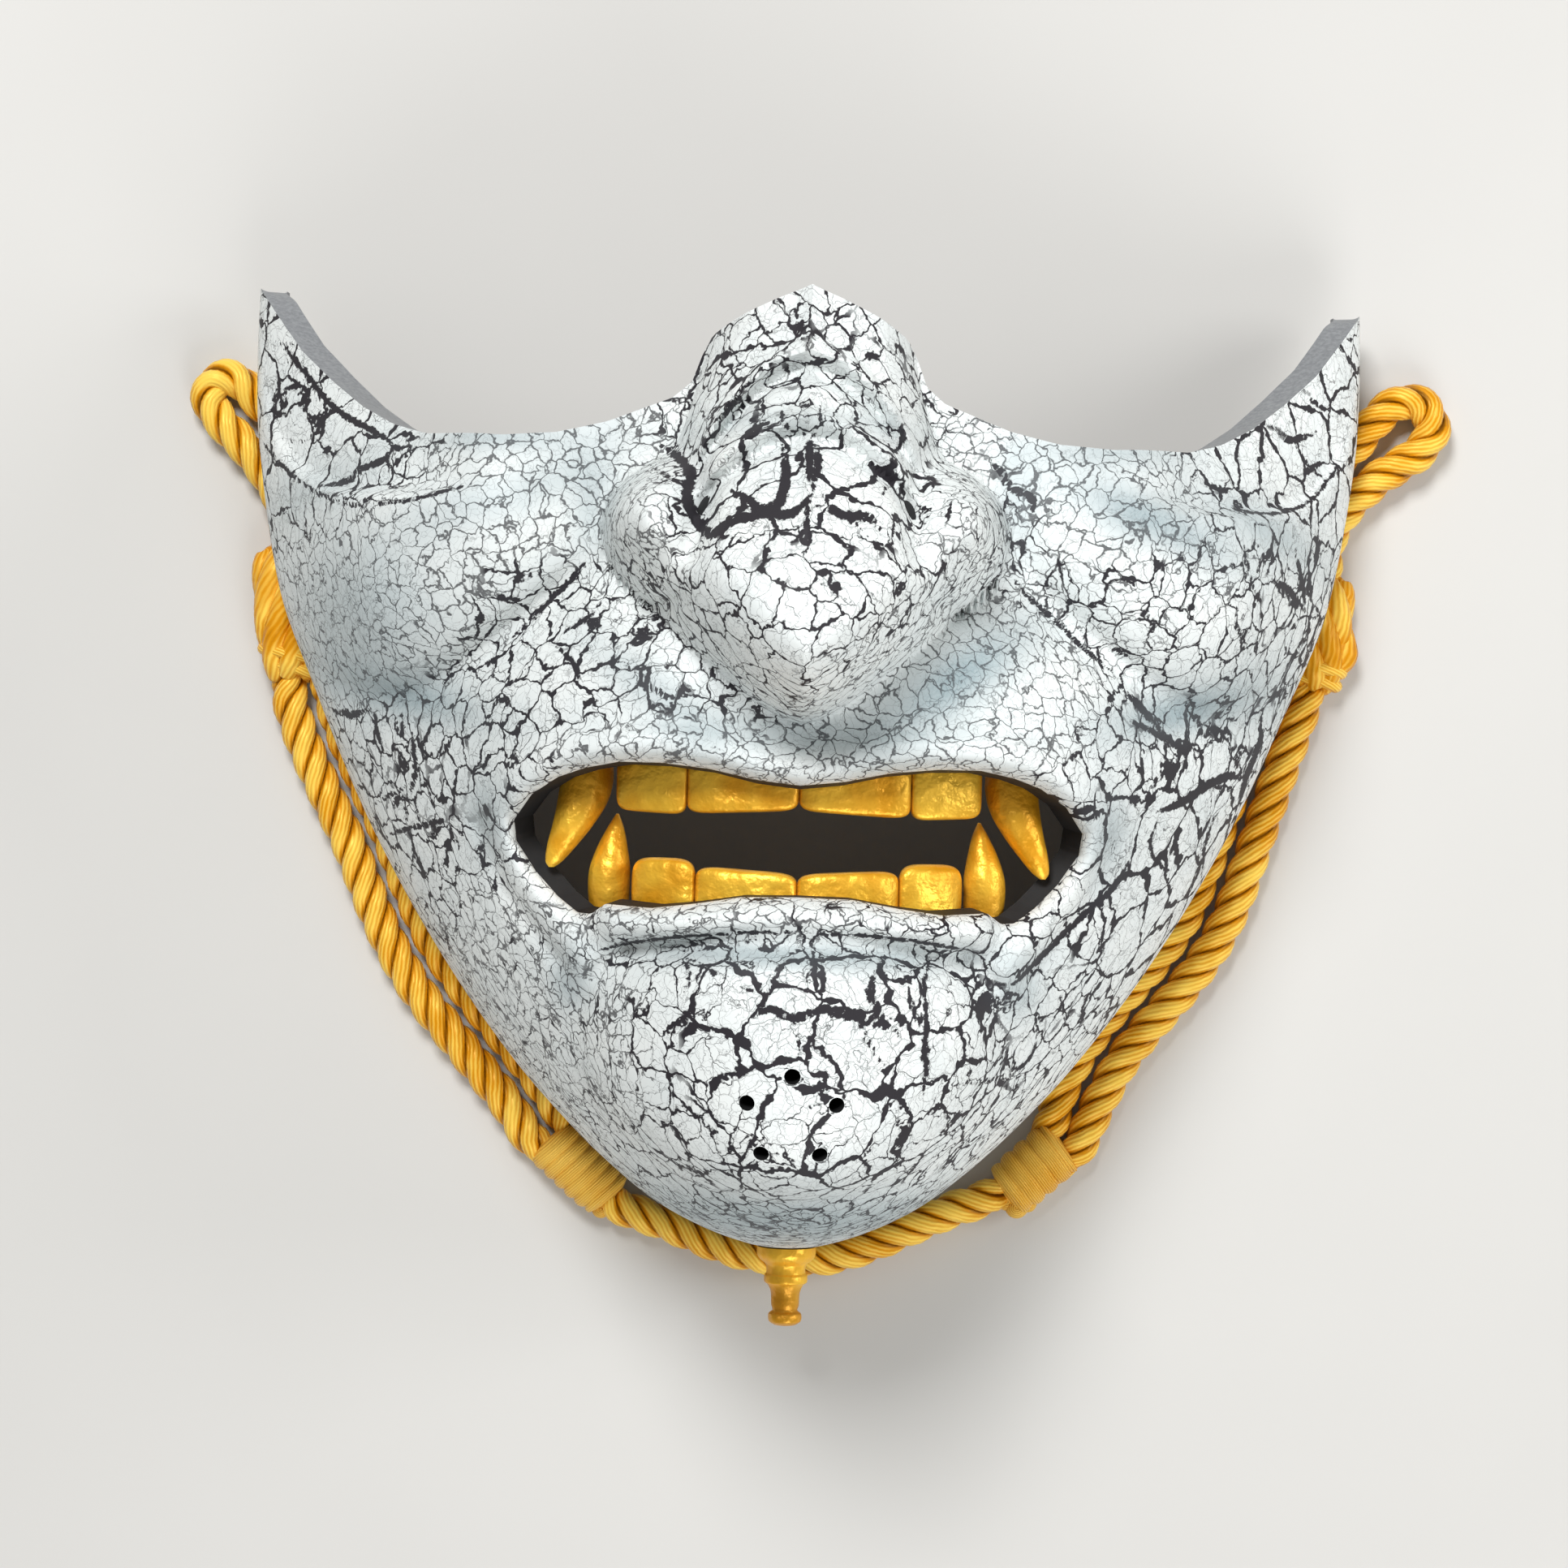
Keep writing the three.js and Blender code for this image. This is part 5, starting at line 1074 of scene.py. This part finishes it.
binding = {
    "whippings": [  # name, replaced node, end by the chin, other end, bands, fatness, lobes as x, y, radius
        ("whippingLeft", "whipping_left", (-28.3, -68), (-39, -58.2), 6.5, 1,
         [(-30.2, -69.7, 1.5), (-28.2, -68.6, 1.4), (-32.3, -68, 1.2)]),
        ("whippingRight", "whipping_right", (34.9, -65.6), (44.4, -57), 4.6, 1.05,
         [(37.2, -67.6, 1.9), (35.6, -66.6, 1.7), (39, -67, 1.5)]),
    ],
    # share of the length, half width, half depth
    "whippingRings": [(0, 3.6, 2.9), (0.12, 4.3, 3.6), (0.4, 4.6, 3.9), (0.8, 4.6, 3.9), (1, 4.8, 3.4)],
    "knots": [("knotLeft", "knot_left", (-81.4, 14.9), (-84.1, 36.2), 0.4),
              ("knotRight", "knot_right", (81.9, 17.7), (84.2, 35.8), -0.4)],
    "knotRings": [(0, 4.6, 2.9), (0.18, 5.6, 4.1), (0.42, 6, 4.3), (0.62, 6, 4.3), (0.85, 5.6, 3.9),
                  (1, 4.6, 2.9)],
    "knotStrands": 6,
    "knotStrandRadius": 2.1,
    "lay": 0.4,  # how fast the yarns turn round a knot's strand
    "crossTurns": [(0.1, 1.2), (0.2, 0.9)],  # thinner turns over a knot's foot: share of the length, tilt
    "crossRadius": 1.05,
    # the tucked end of the rope
    "stub": [(84.4, 31), (86.6, 28.6), (87.8, 25.8), (87.6, 22.6), (86.4, 20.6)],
    "stubHeight": 4.6,
    # painted highlight on the strands' crests, their middle colour, and painted shade in the grooves
    "knotColours": ("#ffd55c", "#d98f0f", "#7a4405"),  # lit, middle, in the grooves
    # painted highlight along the wound turns, their middle colour, and a little painted shade between them
    "threadColours": ("#fbcb5c", "#dd9922", "#6e3f06"),
}
knotYarn = yarnMaterial("knotted golden rayon rope", *binding["knotColours"], 12, 0.4, 0.3, 0.00011)
threadWind = yarnMaterial("wound golden thread, glued", *binding["threadColours"], 1, 2.6, 0.0, 0.0003)


def alongAxis(start, end, table, count):
    # places, widths and depths along a bundle's straight axis, and its own directions
    start, end = np.array([*start, 0.0]), np.array([*end, 0.0])
    t = np.linspace(0, 1, count)
    across, deep = (tableCurve([r[0] for r in table], [r[k] for r in table], t) for k in (1, 2))
    axis = start + (end - start) * t[:, None]
    axis[:, 2] = deep + 0.15
    return t, axis, across, deep, np.cross([0, 0, 1.0], unit(end - start)), np.linalg.norm(end - start)


def lobe(x, y, radius, z):
    # a ball pressed a little flat
    u, v = np.linspace(0, np.pi, 15)[:, None], np.linspace(0, 2 * np.pi, 25)[None, :]
    ball = np.stack(np.broadcast_arrays(np.sin(u) * np.cos(v), np.sin(u) * np.sin(v), 0.9 * np.cos(u)), -1)
    points = ball * radius + [x, y, z]
    uv = np.stack(np.broadcast_arrays(u * radius, v / (2 * np.pi)), -1)
    return flattened(points, uv)


def addBound(name, node, parts, material):
    # parts with their UV places as one piece of rope or thread
    points, faces, uv = joined(parts)
    return addPiece(name, points, faces, [material], [node], uv=uv, sharp=180)


for name, node, start, end, bands, fat, lobes in binding["whippings"]:
    t, axis, across, deep, side, length = alongAxis(start, end, binding["whippingRings"], 110)
    # the wound bands bulge: radius * (0.88 + 0.14 |sin(pi * bands * t)|^0.6)
    swell = fat * (0.88 + 0.14 * np.abs(np.sin(np.pi * bands * t)) ** 0.6)
    swell = swell * np.clip(np.minimum(t, 1 - t) * 14, 0, 1) ** 0.35
    a = np.linspace(0, 2 * np.pi, 41)
    lean = 0.25 * np.cos(a)[None, :, None] * (end[0] - start[0], end[1] - start[1], 0) / length
    rings = axis[:, None] + (across * swell)[:, None, None] * np.cos(a)[None, :, None] * side + lean
    rings[..., 2] += (deep * swell)[:, None] * np.sin(a)[None]
    uv = np.stack(np.broadcast_arrays(t[:, None] * length, a[None] / (2 * np.pi)), -1)
    parts = [flattened(rings, uv)]
    parts += [lobe(x, y, radius, radius + 1.2) for x, y, radius in lobes]
    addBound(name, node, parts, threadWind)

for name, node, start, end, twist in binding["knots"]:
    t, axis, across, deep, side, length = alongAxis(start, end, binding["knotRings"], 70)
    radius = binding["knotStrandRadius"] * (0.45 + 0.55 * np.clip(np.minimum(t, 1 - t) * 6, 0, 1) ** 0.5)
    parts = []
    for k in range(binding["knotStrands"]):
        a = 2 * np.pi * (k / binding["knotStrands"] + twist * t)
        centre = axis + ((across - radius) * np.cos(a))[:, None] * side
        centre[:, 2] += (deep - radius) * np.sin(a)
        parts.append(flattened(*strandSurface(centre, radius, 0 * t, binding["lay"], 0.7 * k, 14)))
    # two turns of a thinner strand cross the foot of the knot
    for place, tilt in binding["crossTurns"]:
        a, b = np.linspace(0, 2 * np.pi, 61)[:, None], np.linspace(0, 2 * np.pi, 13)[None, :]
        i = int(place * (len(t) - 1))
        thin = binding["crossRadius"]
        wide, tall = across[i] - 0.5 + thin * np.cos(b), deep[i] - 1.25 + thin * np.cos(b)
        x = axis[i, 0] + side[0] * wide * np.cos(a)
        y = axis[i, 1] + thin * np.sin(b) + tilt * np.cos(a) + 0 * a
        z = axis[i, 2] + tall * np.sin(a)
        points = np.stack(np.broadcast_arrays(x, y, z), -1)
        uv = np.stack(np.broadcast_arrays(a * 6, b / (2 * np.pi)), -1)
        parts.append(flattened(points, uv))
    if name == "knotRight":
        stub = evenly(smoothed(binding["stub"], 8), 0.4)
        stub = np.c_[stub, np.full(len(stub), binding["stubHeight"])]
        s = np.linspace(0, 1, len(stub))
        thick = 1.6 + 0.7 * bell((s - 0.75) / 0.16)
        parts.append(flattened(*strandSurface(stub, thick, 0 * s, 0.3, 0, 16)))
    addBound(name, node, parts, knotYarn)
